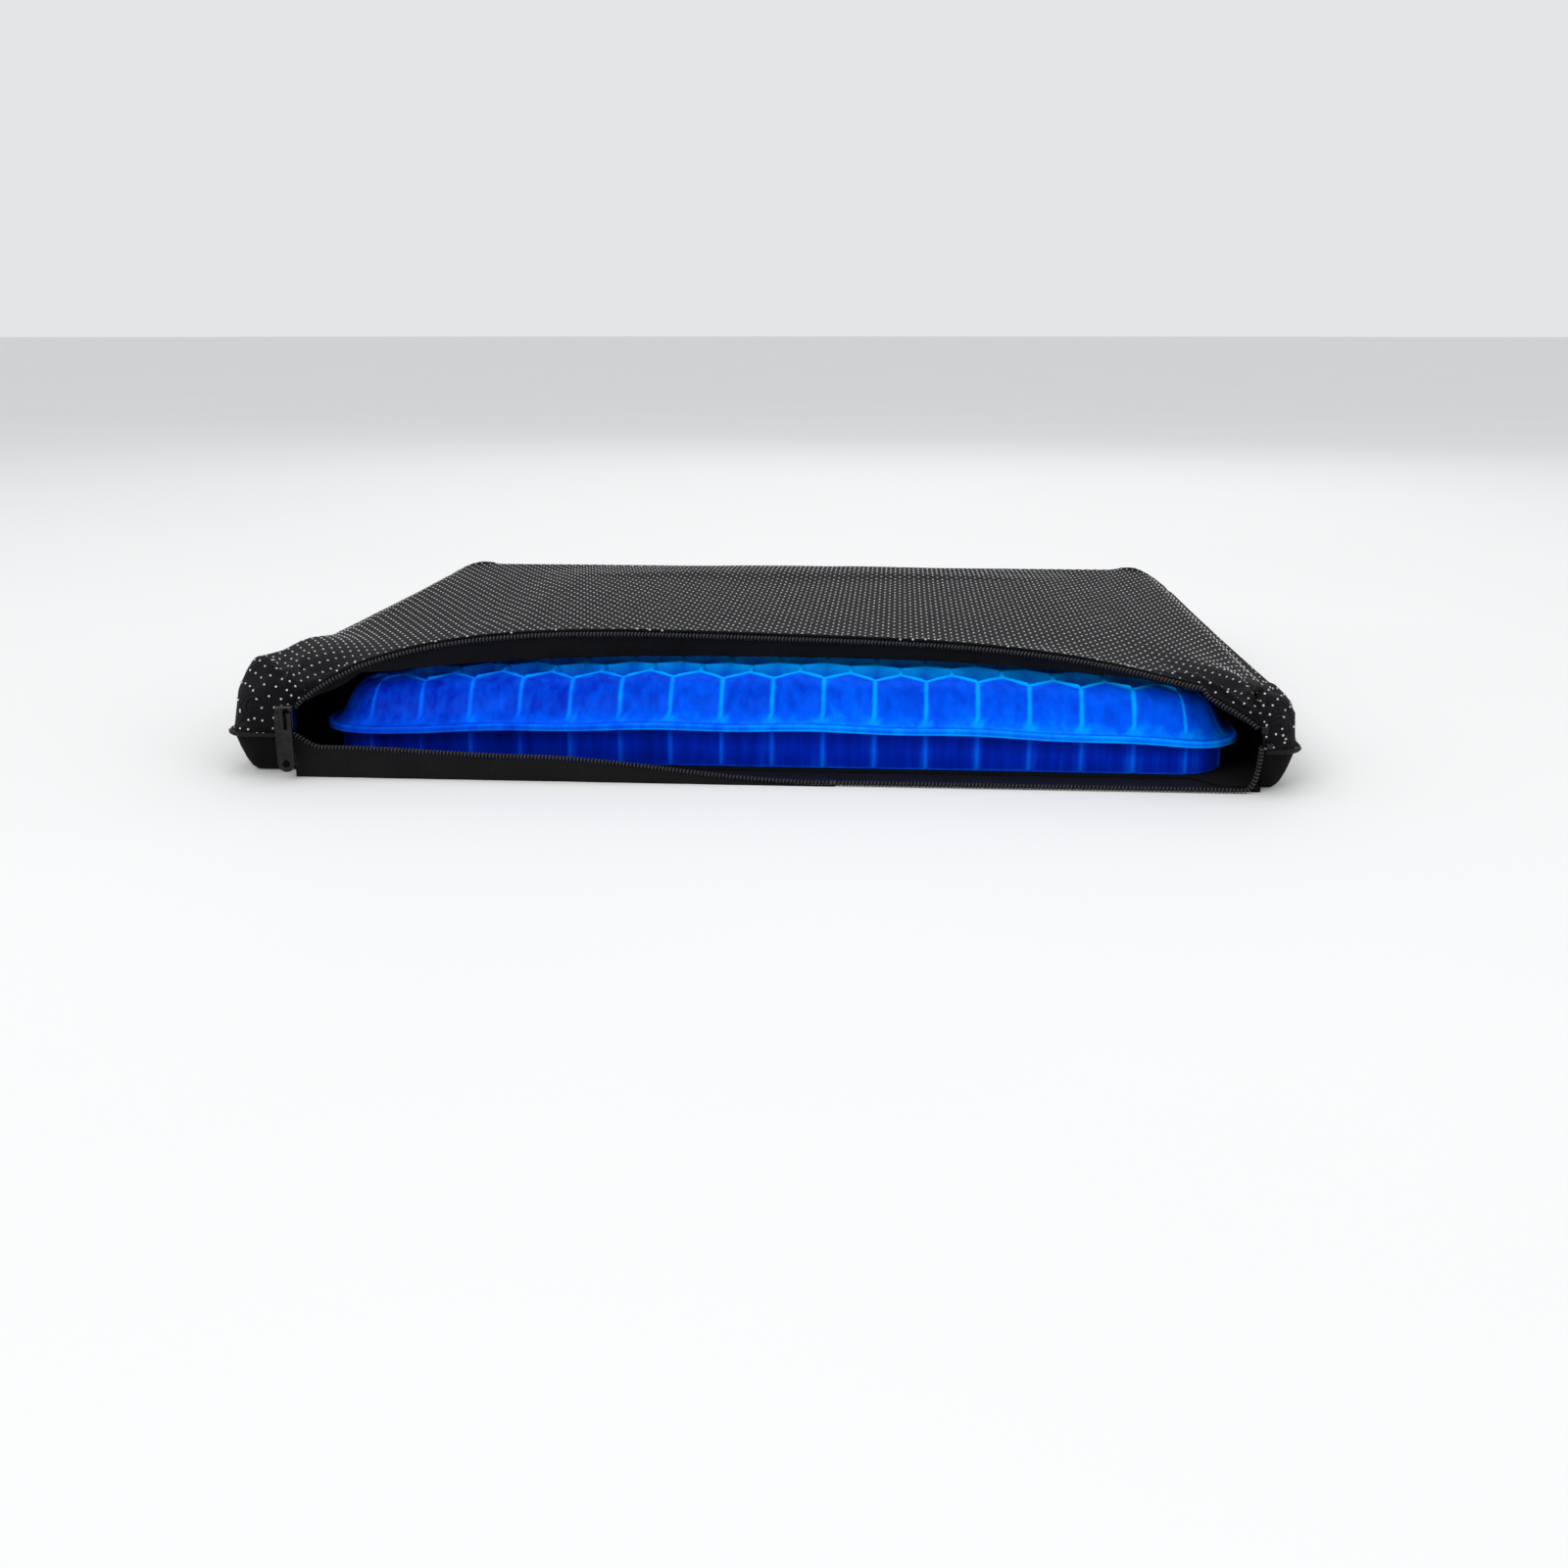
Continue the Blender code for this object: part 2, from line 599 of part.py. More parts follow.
def main():
    clear_scene()
    gel = material("blue gel", (0.0, 0.09, 0.75), 0.15)
    knit = material("charcoal knit", (0.03, 0.03, 0.032), 0.9)
    lining = material("plain black fabric", (0.012, 0.012, 0.013), 0.85)
    tape = material("black zip tape", (0.015, 0.015, 0.016), 0.7)
    coil = material("black nylon coil", (0.02, 0.02, 0.02), 0.35)
    thread = material("black thread", (0.01, 0.01, 0.01), 0.8)
    metal = material("black enamelled metal", (0.02, 0.02, 0.02), 0.25, 0.8)

    gel_insert(gel)
    sheet_panel("cover_top_panel", top_point, TOP_FABRIC, knit, faces_up=True)
    sheet_panel("cover_bottom_panel", bottom_point, BOTTOM_FABRIC, lining, faces_up=False)
    tube("side_seam", seam_path(), SEAM_TUBE_RADIUS, thread)
    zip_tape_upper(tape)
    zip_tape_lower(tape)
    tube("zip_coil_upper", upper_coil_path(), COIL_RADIUS, coil)
    tube("zip_coil_lower", lower_coil_path(), COIL_RADIUS, coil)
    slider_body(metal)
    pull_tab(metal)
    end_stops(metal)


main()
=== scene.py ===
"""Gel seat cushion: honeycomb gel pad, dotted knit cover with an open zip, and its studio.

Laid out as an add-on and run as a script. Every size is in metres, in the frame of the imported
model: origin under the middle of the cushion, +Z up, the open mouth faces -Y.
"""

import math

import bmesh
import bpy
import numpy as np
from mathutils import Euler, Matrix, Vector, noise
from mathutils.kdtree import KDTree


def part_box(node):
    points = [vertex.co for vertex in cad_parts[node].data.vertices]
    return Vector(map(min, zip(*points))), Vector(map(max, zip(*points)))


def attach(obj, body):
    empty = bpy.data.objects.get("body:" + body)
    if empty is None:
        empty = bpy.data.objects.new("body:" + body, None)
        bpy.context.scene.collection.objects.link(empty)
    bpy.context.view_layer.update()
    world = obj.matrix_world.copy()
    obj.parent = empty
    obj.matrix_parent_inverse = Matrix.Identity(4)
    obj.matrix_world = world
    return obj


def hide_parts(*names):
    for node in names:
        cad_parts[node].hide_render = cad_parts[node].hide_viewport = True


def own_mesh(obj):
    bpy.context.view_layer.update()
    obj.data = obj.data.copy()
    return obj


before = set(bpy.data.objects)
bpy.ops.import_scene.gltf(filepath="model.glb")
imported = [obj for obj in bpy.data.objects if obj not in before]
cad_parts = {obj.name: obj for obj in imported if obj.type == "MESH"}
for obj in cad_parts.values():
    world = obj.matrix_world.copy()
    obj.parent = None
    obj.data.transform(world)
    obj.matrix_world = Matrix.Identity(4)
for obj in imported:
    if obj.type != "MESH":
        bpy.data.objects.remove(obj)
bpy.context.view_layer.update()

bl_info = {
    "name": "Gel Seat Cushion",
    "version": (1, 0, 0),
    "blender": (4, 5, 0),
    "location": "3D View > Sidebar > Cushion",
    "description": "Honeycomb gel pad in a dotted knit cover with an open zip",
    "category": "Add Mesh",
}

MM = 0.001

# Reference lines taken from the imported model
PANEL_LOW, PANEL_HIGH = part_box("cover_top_panel")
GEL_LOW, GEL_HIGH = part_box("gel_insert")
FRONT_Y = PANEL_LOW[1]
BACK_Y = PANEL_HIGH[1]
COVER_DEPTH = BACK_Y - FRONT_Y
HALF_FRONT = 217.0 * MM
HALF_BACK = 215.0 * MM
GEL_MIDDLE = Vector(((GEL_LOW[0] + GEL_HIGH[0]) / 2.0, (GEL_LOW[1] + GEL_HIGH[1]) / 2.0, 0.0))
GEL_HALF_X = (GEL_HIGH[0] - GEL_LOW[0]) / 2.0
GEL_HALF_Y = (GEL_HIGH[1] - GEL_LOW[1]) / 2.0
GEL_FOOT = GEL_LOW[2]

# The cover's shape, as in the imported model
COVER_HEIGHT = 44.0 * MM
SEAM_HEIGHT = 18.0 * MM
SEAM_ALLOWANCE = 2.0 * MM
SEAM_MEET = SEAM_HEIGHT - SEAM_ALLOWANCE / 2.0  # both panels run into the seam here
FRONT_CORNER_RADIUS = 9.0 * MM
BACK_CORNER_RADIUS = 32.0 * MM
EDGE_ROUNDING = 15.0 * MM
TRAY_ROUNDING = 9.0 * MM
TOP_FABRIC = 1.2 * MM
BOTTOM_FABRIC = 2.6 * MM
MOUTH_LEFT = -191.0 * MM
MOUTH_RIGHT = 203.0 * MM
MOUTH_MIDDLE = (MOUTH_LEFT + MOUTH_RIGHT) / 2.0
MOUTH_HALF = (MOUTH_RIGHT - MOUTH_LEFT) / 2.0
LIP_CORNER_HEIGHT = 22.0 * MM
LIP_RISE = 29.5 * MM
LIP_OVER_GEL = 3.6 * MM
LIP_TILT = 0.17
LIP_DRAW_BACK = 43.0 * MM
LIP_FOLD = 3.4 * MM
LIP_END = 0.985  # the coils stop just short of the mouth's corners
LOWER_LIP_SETBACK = 12.5 * MM
EAR_X, EAR_Y = -205.0 * MM, -128.0 * MM  # middle of the full left ear
EAR_WIDE, EAR_DEEP = 26.0 * MM, 42.0 * MM
EAR_PUFF = 8.0 * MM

# The zip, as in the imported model
COIL_RADIUS = 1.2 * MM
COIL_INSET = 1.5 * MM
LOWER_COIL_Y = FRONT_Y - 1.7 * MM
LOWER_COIL_CORNER = 5.0 * MM
LOWER_COIL_TOP = 19.8 * MM
LOWER_COIL_FLOOR = 1.3 * MM

# The gel pad's shape
FLANGE_OUT = 6.0 * MM
FLANGE_LOW = 14.5 * MM
FLANGE_HIGH = 17.5 * MM
GEL_CORNER = 22.0 * MM
SHOULDER_IN = 13.0 * MM
SHOULDER_TOP = 33.0 * MM
PEAK_RISE = 1.5 * MM
GEL_ARCH = 5.0 * MM

# Mesh fineness
EAR_COLUMNS = 12
MOUTH_COLUMNS = 124
PANEL_ROWS = 92
LIP_STEPS = 150
SETTLING_FRAMES = 20

FLOOR_REACH = 40.0


# Settings


def length(name, description, default, low, high):
    return bpy.props.FloatProperty(
        name=name, description=description, default=default, min=low, max=high, unit="LENGTH")


def colour(name, description, default):
    return bpy.props.FloatVectorProperty(
        name=name, description=description, default=default, size=3, subtype="COLOR", min=0.0, max=1.0)


def angle(name, description, degrees):
    return bpy.props.FloatProperty(
        name=name, description=description, default=math.radians(degrees),
        subtype="ANGLE", unit="ROTATION")


class CushionGelSettings(bpy.types.PropertyGroup):
    cell_pitch: length("Cell pitch", "Width of one honeycomb cell, wall to wall", 21.0 * MM, 0.008, 0.04)
    wall: length("Wall", "Thickness of the walls between the cells", 1.9 * MM, 0.0008, 0.005)
    rim_flare: length("Rim flare", "How far each cell opens out at its rim", 0.3 * MM, 0.0, 0.001)
    membrane: length(
        "Membrane", "Thickness left between the upper and the lower cells", 2.4 * MM, 0.001, 0.006)
    # Colours of the gel's painted light, dark to light: shade is painted shade deep in the cells, deep is
    # painted shade on the lower half under the flange, body is the pad's own blue on its outer panels, and
    # edge is a painted highlight along the ribs, rims and flange.
    shade: colour("Shade", "Colour deep inside the cells", (0.0, 0.002, 0.075))
    deep: colour("Deep", "Colour of the lower half", (0.0, 0.018, 0.45))
    body: colour("Body", "Colour of the outer panels", (0.0, 0.095, 0.86))
    edge: colour("Edge", "Colour along ribs, rims and the flange, where light gathers", (0.0, 0.36, 1.0))


class CushionCoverSettings(bpy.types.PropertyGroup):
    knit: colour("Knit", "Colour of the dotted knit", (0.0066, 0.0066, 0.0078))
    base_knit: colour("Base knit", "Colour of the plain bottom panel", (0.0045, 0.0045, 0.005))
    dot: colour("Dot", "Colour of the raised dots", (0.62, 0.62, 0.63))
    dot_spacing: length("Dot spacing", "Distance between neighbouring dots", 5.3 * MM, 0.002, 0.02)
    dot_width: length("Dot width", "Width of one raised dot", 1.1 * MM, 0.0005, 0.004)
    dot_height: length("Dot height", "How far a dot stands out of the knit", 0.45 * MM, 0.0001, 0.002)
    slack: bpy.props.FloatProperty(
        name="Slack", description="Spare fabric round the front corners, as a share",
        default=0.05, min=0.0, max=0.2, subtype="FACTOR")
    move_cap: length("Move cap", "The furthest that settling may move the fabric", 5.0 * MM, 0.0, 0.02)
    lip_stand: length("Lip stand", "How high the lower lip stands at its left end", 11.0 * MM, 0.0, 0.02)


class CushionZipSettings(bpy.types.PropertyGroup):
    tooth_pitch: length("Tooth pitch", "Distance between the coil's turns", 1.45 * MM, 0.0008, 0.005)
    wire: length("Wire", "Radius of the coil's wire", 0.32 * MM, 0.0001, 0.001)
    stitch: length("Stitch", "Length of one stitch", 2.6 * MM, 0.001, 0.006)
    tape: colour("Tape", "Colour of the zip tapes", (0.0045, 0.0045, 0.005))
    coil: colour("Coil", "Colour of the zip coils", (0.013, 0.013, 0.014))
    metal: colour("Metal", "Colour of the slider, tab and stops", (0.006, 0.006, 0.0065))


class CushionStudioSettings(bpy.types.PropertyGroup):
    camera_place: bpy.props.FloatVectorProperty(
        name="Camera place", description="Where the camera stands",
        default=(0.0570, -0.8050, 0.1775), size=3, subtype="TRANSLATION", unit="LENGTH")
    camera_pitch: angle("Camera pitch", "How far the camera looks down", 15.72)
    camera_turn: angle("Camera turn", "How far the camera is turned towards -X", 4.0)
    lens: bpy.props.FloatProperty(
        name="Lens", description="Focal length on a 36 mm sensor, in millimetres",
        default=37.125, min=10.0, max=200.0)
    floor: colour("Floor", "Colour of the floor", (0.80, 0.80, 0.795))


# Node trees


class Nodes:
    """Adds nodes to one tree, with their values or links given by input name or number."""

    def __init__(self, tree):
        self.tree = tree

    def add(self, kind, values=None, **settings):
        made = self.tree.nodes.new(kind)
        for name, value in settings.items():
            setattr(made, name, value)
        for label, value in (values or {}).items():
            socket = made.inputs[label]
            if isinstance(value, bpy.types.NodeSocket):
                self.tree.links.new(value, socket)
            else:
                socket.default_value = value
        return made

    def math(self, operation, first, second=0.0):
        return self.add("ShaderNodeMath", {0: first, 1: second}, operation=operation).outputs[0]


class Surface(Nodes):
    """A material with one Principled shader; constants go straight onto the shader's sockets."""

    def __init__(self, name, **constants):
        self.material = bpy.data.materials.new(name)
        self.material.use_nodes = True
        super().__init__(self.material.node_tree)
        self.shader = self.tree.nodes["Principled BSDF"]
        for label, value in constants.items():
            self.shader.inputs[label.replace("_", " ").title().replace("Ior", "IOR")].default_value = value

    def feed(self, label, socket):
        self.tree.links.new(socket, self.shader.inputs[label])

    def ramp(self, factor, *stops):
        made = self.add("ShaderNodeValToRGB", {"Fac": factor})
        marks = made.color_ramp.elements
        while len(marks) < len(stops):
            marks.new(0.5)
        for mark, (place, colour) in zip(marks, stops):
            mark.position = place
            mark.color = (*colour, 1.0)
        return made.outputs["Color"]

    def tones(self, factor, colour, *stops):
        """Feeds the base colour from darker and lighter tones of one colour, as (place, share)."""
        marks = [(place, tuple(c * share for c in colour)) for place, share in stops]
        self.feed("Base Color", self.ramp(factor, *marks))

    def place(self):
        return self.add("ShaderNodeTexCoord").outputs["Object"]

    def mapped(self, vector, **values):
        return self.add("ShaderNodeMapping", {"Vector": vector, **values}).outputs["Vector"]

    def noise(self, vector, scale, detail, **values):
        return self.add("ShaderNodeTexNoise", {
            "Vector": vector, "Scale": scale, "Detail": detail, **values}).outputs["Fac"]

    def wave(self, vector, scale, distortion, values=None, **settings):
        return self.add("ShaderNodeTexWave", {
            "Vector": vector, "Scale": scale, "Distortion": distortion, **(values or {})},
            **settings).outputs["Fac"]

    def weighed(self, *parts):
        """The sum of (factor, weight) pairs."""
        total = None
        for factor, weight in parts:
            part = self.math("MULTIPLY", factor, weight)
            total = part if total is None else self.math("ADD", total, part)
        return total

    def centred(self, factor, reach):
        return self.math("MULTIPLY", self.math("SUBTRACT", factor, 0.5), reach)

    def bump(self, height, strength, distance):
        made = self.add("ShaderNodeBump", {"Height": height, "Strength": strength, "Distance": distance})
        self.feed("Normal", made.outputs["Normal"])


class Growth(Nodes):
    """A Geometry Nodes tree with named inputs, run on a mesh to give a plain mesh."""

    def __init__(self, name, **inputs):
        super().__init__(bpy.data.node_groups.new(name, "GeometryNodeTree"))
        face = self.tree.interface
        face.new_socket("Geometry", in_out="INPUT", socket_type="NodeSocketGeometry")
        kinds = {float: "NodeSocketFloat", int: "NodeSocketInt"}
        for label, value in inputs.items():
            socket = face.new_socket(label, in_out="INPUT", socket_type=kinds[type(value)])
            socket.default_value = value
        face.new_socket("Finish", in_out="INPUT", socket_type="NodeSocketMaterial")
        face.new_socket("Geometry", in_out="OUTPUT", socket_type="NodeSocketGeometry")
        self.start = self.tree.nodes.new("NodeGroupInput").outputs
        self.values = inputs

    def strew(self, shape, along=None):
        """Sets a shape on each point, turned to the attribute named along, and ends the tree."""
        values = {"Points": self.start["Geometry"], "Instance": shape}
        if along:
            way = self.add("GeometryNodeInputNamedAttribute", {"Name": along}, data_type="FLOAT_VECTOR")
            facing = self.add(
                "FunctionNodeAlignRotationToVector", {"Vector": way.outputs["Attribute"]}, axis="Z")
            values["Rotation"] = facing.outputs["Rotation"]
        spread = self.add("GeometryNodeInstanceOnPoints", values)
        solid = self.add("GeometryNodeRealizeInstances", {"Geometry": spread.outputs["Instances"]})
        painted = self.add("GeometryNodeSetMaterial", {
            "Geometry": solid.outputs["Geometry"], "Material": self.start["Finish"]})
        end = self.tree.nodes.new("NodeGroupOutput")
        self.tree.links.new(painted.outputs["Geometry"], end.inputs["Geometry"])

    def run(self, name, mesh, finish):
        seed = add_object(name + "_seed", mesh)
        step = seed.modifiers.new("grow", "NODES")
        step.node_group = self.tree
        for item in self.tree.interface.items_tree:
            if item.in_out == "INPUT" and item.name in self.values:
                step[item.identifier] = self.values[item.name]
            if item.in_out == "INPUT" and item.name == "Finish":
                step[item.identifier] = finish
        grown = plain_copy(seed, name)
        bpy.data.objects.remove(seed, do_unlink=True)
        if not len(grown.data.polygons):
            raise RuntimeError(f"{name} came out empty")
        grown.data.materials.clear()
        grown.data.materials.append(finish)
        grown.data.polygons.foreach_set("material_index", [0] * len(grown.data.polygons))
        return grown


# Objects


def add_object(name, mesh, finish=None):
    made = bpy.data.objects.new(name, mesh)
    bpy.context.scene.collection.objects.link(made)
    if finish is not None:
        mesh.materials.clear()
        mesh.materials.append(finish)
    return made


def plain_copy(source, name):
    """The evaluated mesh of an object, as a new object without modifiers."""
    bpy.context.view_layer.update()
    ready = source.evaluated_get(bpy.context.evaluated_depsgraph_get())
    return add_object(name, bpy.data.meshes.new_from_object(ready))


def mesh_from(name, points, faces=()):
    mesh = bpy.data.meshes.new(name)
    mesh.from_pydata([tuple(p) for p in points], [], list(faces))
    mesh.validate()
    return mesh


def vector_attribute(mesh, name, values):
    made = mesh.attributes.new(name, "FLOAT_VECTOR", "POINT")
    made.data.foreach_set("vector", np.asarray(values, float).ravel())


def smooth(mesh, degrees=40.0):
    mesh.shade_smooth()
    mesh.set_sharp_from_angle(angle=math.radians(degrees))


def hand_over(piece, body, slot, *replaced):
    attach(piece, body)
    if replaced:
        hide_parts(*replaced)


def eased(value, low=0.0, high=1.0):
    share = min(max((value - low) / (high - low), 0.0), 1.0)
    return share * share * (3.0 - 2.0 * share)


# Finishes


def gel_finish():
    """Blue gel with painted light: painted shade deep in the cells, on the lower half and towards the left
    end, painted highlights along its ribs, rims and flange, streaks of painted highlight, and slow clouds
    of tone.
    """
    settings = bpy.context.scene.cushion_gel
    made = Surface("gel_blue", roughness=0.3, ior=1.42, specular_ior_level=0.012,
                   coat_weight=0.01, coat_roughness=0.04)
    # The pad's painted light, carried by a point attribute: painted shade deep in the cells, painted
    # highlights on ribs, rims and flange.
    painted_light = made.add("ShaderNodeAttribute", attribute_name="painted_light").outputs["Fac"]
    place = made.place()
    # Streaks of painted highlight, lighter and darker, running up the pad; the slow clouds are the gel's
    # own changes of tone.
    highlight_streaks = made.noise(made.mapped(place, Scale=(240.0, 240.0, 22.0)), 1.0, 3.0, Roughness=0.6)
    clouds = made.noise(place, 55.0, 2.0)
    shift = made.centred(highlight_streaks, 0.42)
    drift = made.centred(clouds, 0.25)
    sides = made.add("ShaderNodeSeparateXYZ", {"Vector": place})
    # Painted shade towards the pad's left end, a little lighter at its right.
    painted_shade_to_left = made.add("ShaderNodeMapRange", {
        "Value": sides.outputs["X"], "From Min": -0.19, "From Max": 0.03, "To Min": 0.62, "To Max": 1.06})
    lit = made.math("MULTIPLY", painted_light, painted_shade_to_left.outputs["Result"])
    level = made.math("ADD", lit, made.math("ADD", shift, drift))
    made.feed("Base Color", made.ramp(
        level, (0.0, settings.shade), (0.3, settings.deep), (0.58, settings.body), (0.96, settings.edge)))
    made.bump(clouds, 0.12, 0.001)
    return made.material


def knit_finish(name, colour, sheen, seed):
    """Fine knit: loops along the pattern UV, with slow changes of tone."""
    made = Surface(name, roughness=0.82, specular_ior_level=0.04, sheen_weight=sheen, sheen_roughness=0.45)
    pattern = made.add("ShaderNodeUVMap", uv_map="pattern").outputs["UV"]
    loops = []
    for turn in (45.0, -45.0):
        turned = made.mapped(pattern, Rotation=(0.0, 0.0, math.radians(turn)))
        loops.append(made.wave(turned, 330.0, 0.6, {"Detail": 1.0}))
    weave = made.math("MULTIPLY", *loops)
    tone = made.noise(pattern, 38.0 + seed, 5.0)
    fuzz = made.noise(pattern, 900.0, 2.0)
    made.tones(made.weighed((weave, 0.45), (tone, 0.35), (fuzz, 0.2)), colour, (0.2, 0.55), (0.75, 1.9))
    made.bump(made.math("ADD", weave, made.math("MULTIPLY", fuzz, 0.3)), 0.7, 0.0003)
    return made.material


def dot_finish():
    made = Surface("silicone_dot", roughness=0.38, coat_weight=0.2, coat_roughness=0.2)
    tone = made.noise(made.place(), 140.0, 2.0)
    made.tones(tone, bpy.context.scene.cushion_cover.dot, (0.3, 0.62), (0.62, 1.0))
    return made.material


def tape_finish():
    """Woven tape: fine ribs across it and a soft sheen."""
    made = Surface("zip_tape_weave", roughness=0.6, specular_ior_level=0.08,
                   sheen_weight=0.02, sheen_roughness=0.4)
    place = made.place()
    ribs = made.wave(place, 260.0, 0.4)
    threads = made.wave(place, 420.0, 0.8, bands_direction="Z")
    tone = made.noise(place, 70.0, 4.0)
    weave = made.math("MULTIPLY", ribs, threads)
    made.tones(made.weighed((weave, 0.5), (tone, 0.5)), bpy.context.scene.cushion_zip.tape,
               (0.15, 0.5), (0.8, 2.4))
    made.bump(weave, 0.6, 0.0003)
    return made.material


def coil_finish():
    made = Surface("coil_nylon", roughness=0.3)
    tone = made.noise(made.place(), 420.0, 3.0)
    made.tones(tone, bpy.context.scene.cushion_zip.coil, (0.3, 0.5), (0.7, 2.2))
    return made.material


def metal_finish():
    """Black lacquered zinc with fine scratches and rubbed, slightly rough patches."""
    made = Surface("black_lacquered_metal", metallic=0.92, coat_weight=0.25, coat_roughness=0.05)
    place = made.place()
    scratch = made.noise(made.mapped(place, Scale=(1600.0, 900.0, 140.0)), 1.0, 2.0)
    patches = made.noise(place, 320.0, 4.0)
    made.tones(patches, bpy.context.scene.cushion_zip.metal, (0.35, 1.0), (0.8, 3.0))
    made.feed("Roughness", made.math("ADD", 0.16, made.math("MULTIPLY", patches, 0.22)))
    made.bump(scratch, 0.12, 0.0001)
    return made.material


def thread_finish():
    made = Surface("black_thread", roughness=0.6, specular_ior_level=0.1,
                   sheen_weight=0.03, sheen_roughness=0.4)
    twist = made.wave(made.place(), 900.0, 1.5)
    made.feed("Base Color", made.ramp(twist, (0.2, (0.003, 0.003, 0.0032)), (0.8, (0.012, 0.012, 0.013))))
    return made.material


def floor_finish():
    made = Surface("studio_floor", roughness=0.75)
    tone = made.noise(made.place(), 3.0, 3.0)
    made.tones(tone, bpy.context.scene.cushion_studio.floor, (0.3, 0.985), (0.7, 1.0))
    return made.material


FINISHES = {
    "gel": gel_finish,
    "dotted_knit": lambda: knit_finish(
        "dotted_knit", bpy.context.scene.cushion_cover.knit, 0.05, 0.0),
    "plain_knit": lambda: knit_finish(
        "plain_knit", bpy.context.scene.cushion_cover.base_knit, 0.02, 5.0),
    "dot": dot_finish,
    "tape": tape_finish,
    "coil": coil_finish,
    "metal": metal_finish,
    "thread": thread_finish,
    "floor": floor_finish,
}


def finish_named(name):
    """Each finish is made once, when it is first wanted."""
    key = "cushion_" + name
    if key not in bpy.data.materials:
        FINISHES[name]().name = key
    return bpy.data.materials[key]


# Shape of the cover


def rounded_in(distance, radius):
    if distance >= radius:
        return 0.0
    return radius - math.sqrt(radius**2 - (radius - max(distance, 0.0)) ** 2)


def half_width(y):
    share = (y - FRONT_Y) / COVER_DEPTH
    straight = HALF_FRONT + (HALF_BACK - HALF_FRONT) * share
    front = rounded_in(y - FRONT_Y, FRONT_CORNER_RADIUS)
    return straight - front - rounded_in(BACK_Y - y, BACK_CORNER_RADIUS)


def mouth_share(x):
    return (x - MOUTH_MIDDLE) / MOUTH_HALF


def arch(x):
    return GEL_ARCH * (1.0 - (x / GEL_HALF_X) ** 2)


def gel_top_at(x):
    own = abs(x - GEL_MIDDLE.x)
    slope = min(max((GEL_HALF_X - own - FLANGE_OUT) / SHOULDER_IN, 0.0), 1.0)
    crown = 1.5 * MM if slope == 1.0 else 0.0
    return FLANGE_HIGH + (SHOULDER_TOP - FLANGE_HIGH) * slope + crown + arch(own)


def lip_fullness(share):
    return max(1.0 - share**4, 0.0) ** 0.6


def lip_height(share):
    full = lip_fullness(share)
    drawn = LIP_CORNER_HEIGHT + LIP_RISE * (1.0 - LIP_TILT * share) * full
    if full == 0.0:
        return drawn
    least = gel_top_at(MOUTH_MIDDLE + MOUTH_HALF * share) + LIP_OVER_GEL
    blend = 5.0 * MM * full
    return (drawn + least + math.sqrt((drawn - least) ** 2 + blend**2)) / 2.0


def lip_y(share):
    return FRONT_Y + LIP_DRAW_BACK * (1.0 - abs(share) ** 3)


def panel_columns():
    columns = [("left", 1.0 - i / EAR_COLUMNS) for i in range(EAR_COLUMNS)]
    columns += [("mouth", -math.cos(math.pi * i / MOUTH_COLUMNS)) for i in range(MOUTH_COLUMNS + 1)]
    columns += [("right", (i + 1) / EAR_COLUMNS) for i in range(EAR_COLUMNS)]
    return columns


def column_x(kind, share, y):
    narrowing = half_width(y) / half_width(0.0) if y > 0.0 else 1.0
    left, right = MOUTH_LEFT * narrowing, MOUTH_RIGHT * narrowing
    if kind == "left":
        return left + (-half_width(y) - left) * share
    if kind == "right":
        return right + (half_width(y) - right) * share
    return (MOUTH_MIDDLE + MOUTH_HALF * share) * narrowing


def row_share(row):
    t = row / PANEL_ROWS
    return t - 0.8 * math.sin(2.0 * math.pi * t) / (2.0 * math.pi)


def edge_rise(distance):
    left_over = 1.0 - min(max(distance, 0.0) / EDGE_ROUNDING, 1.0)
    return (1.0 - left_over**2.4) ** (1.0 / 2.4)


def tray_flatness(distance):
    left_over = 1.0 - min(max(distance, 0.0) / TRAY_ROUNDING, 1.0)
    return 1.0 - left_over**2


def corner_folds(x, y):
    """Folds that fan out from the mouth's corners, as a height along the fabric's normal."""
    total = 0.0
    fans = (
        (MOUTH_RIGHT, 1.0, 11.0, 90.0 * MM, 3.0 * MM, 0.6),
        (MOUTH_LEFT, -1.0, 7.0, 65.0 * MM, 2.2 * MM, 2.1),
    )
    for corner, side, count, reach, depth, start in fans:
        out = (x - corner) * side
        back = y - FRONT_Y
        away = math.hypot(out, back)
        angle = math.atan2(back, out)
        bend = 0.5 * noise.noise(Vector((x * 22.0, y * 22.0, start)))
        fan = math.sin(count * angle + start + 2.2 * bend)
        total += depth * fan * math.exp(-((away / reach) ** 2)) * eased(away, 6.0 * MM, 26.0 * MM)
    return total


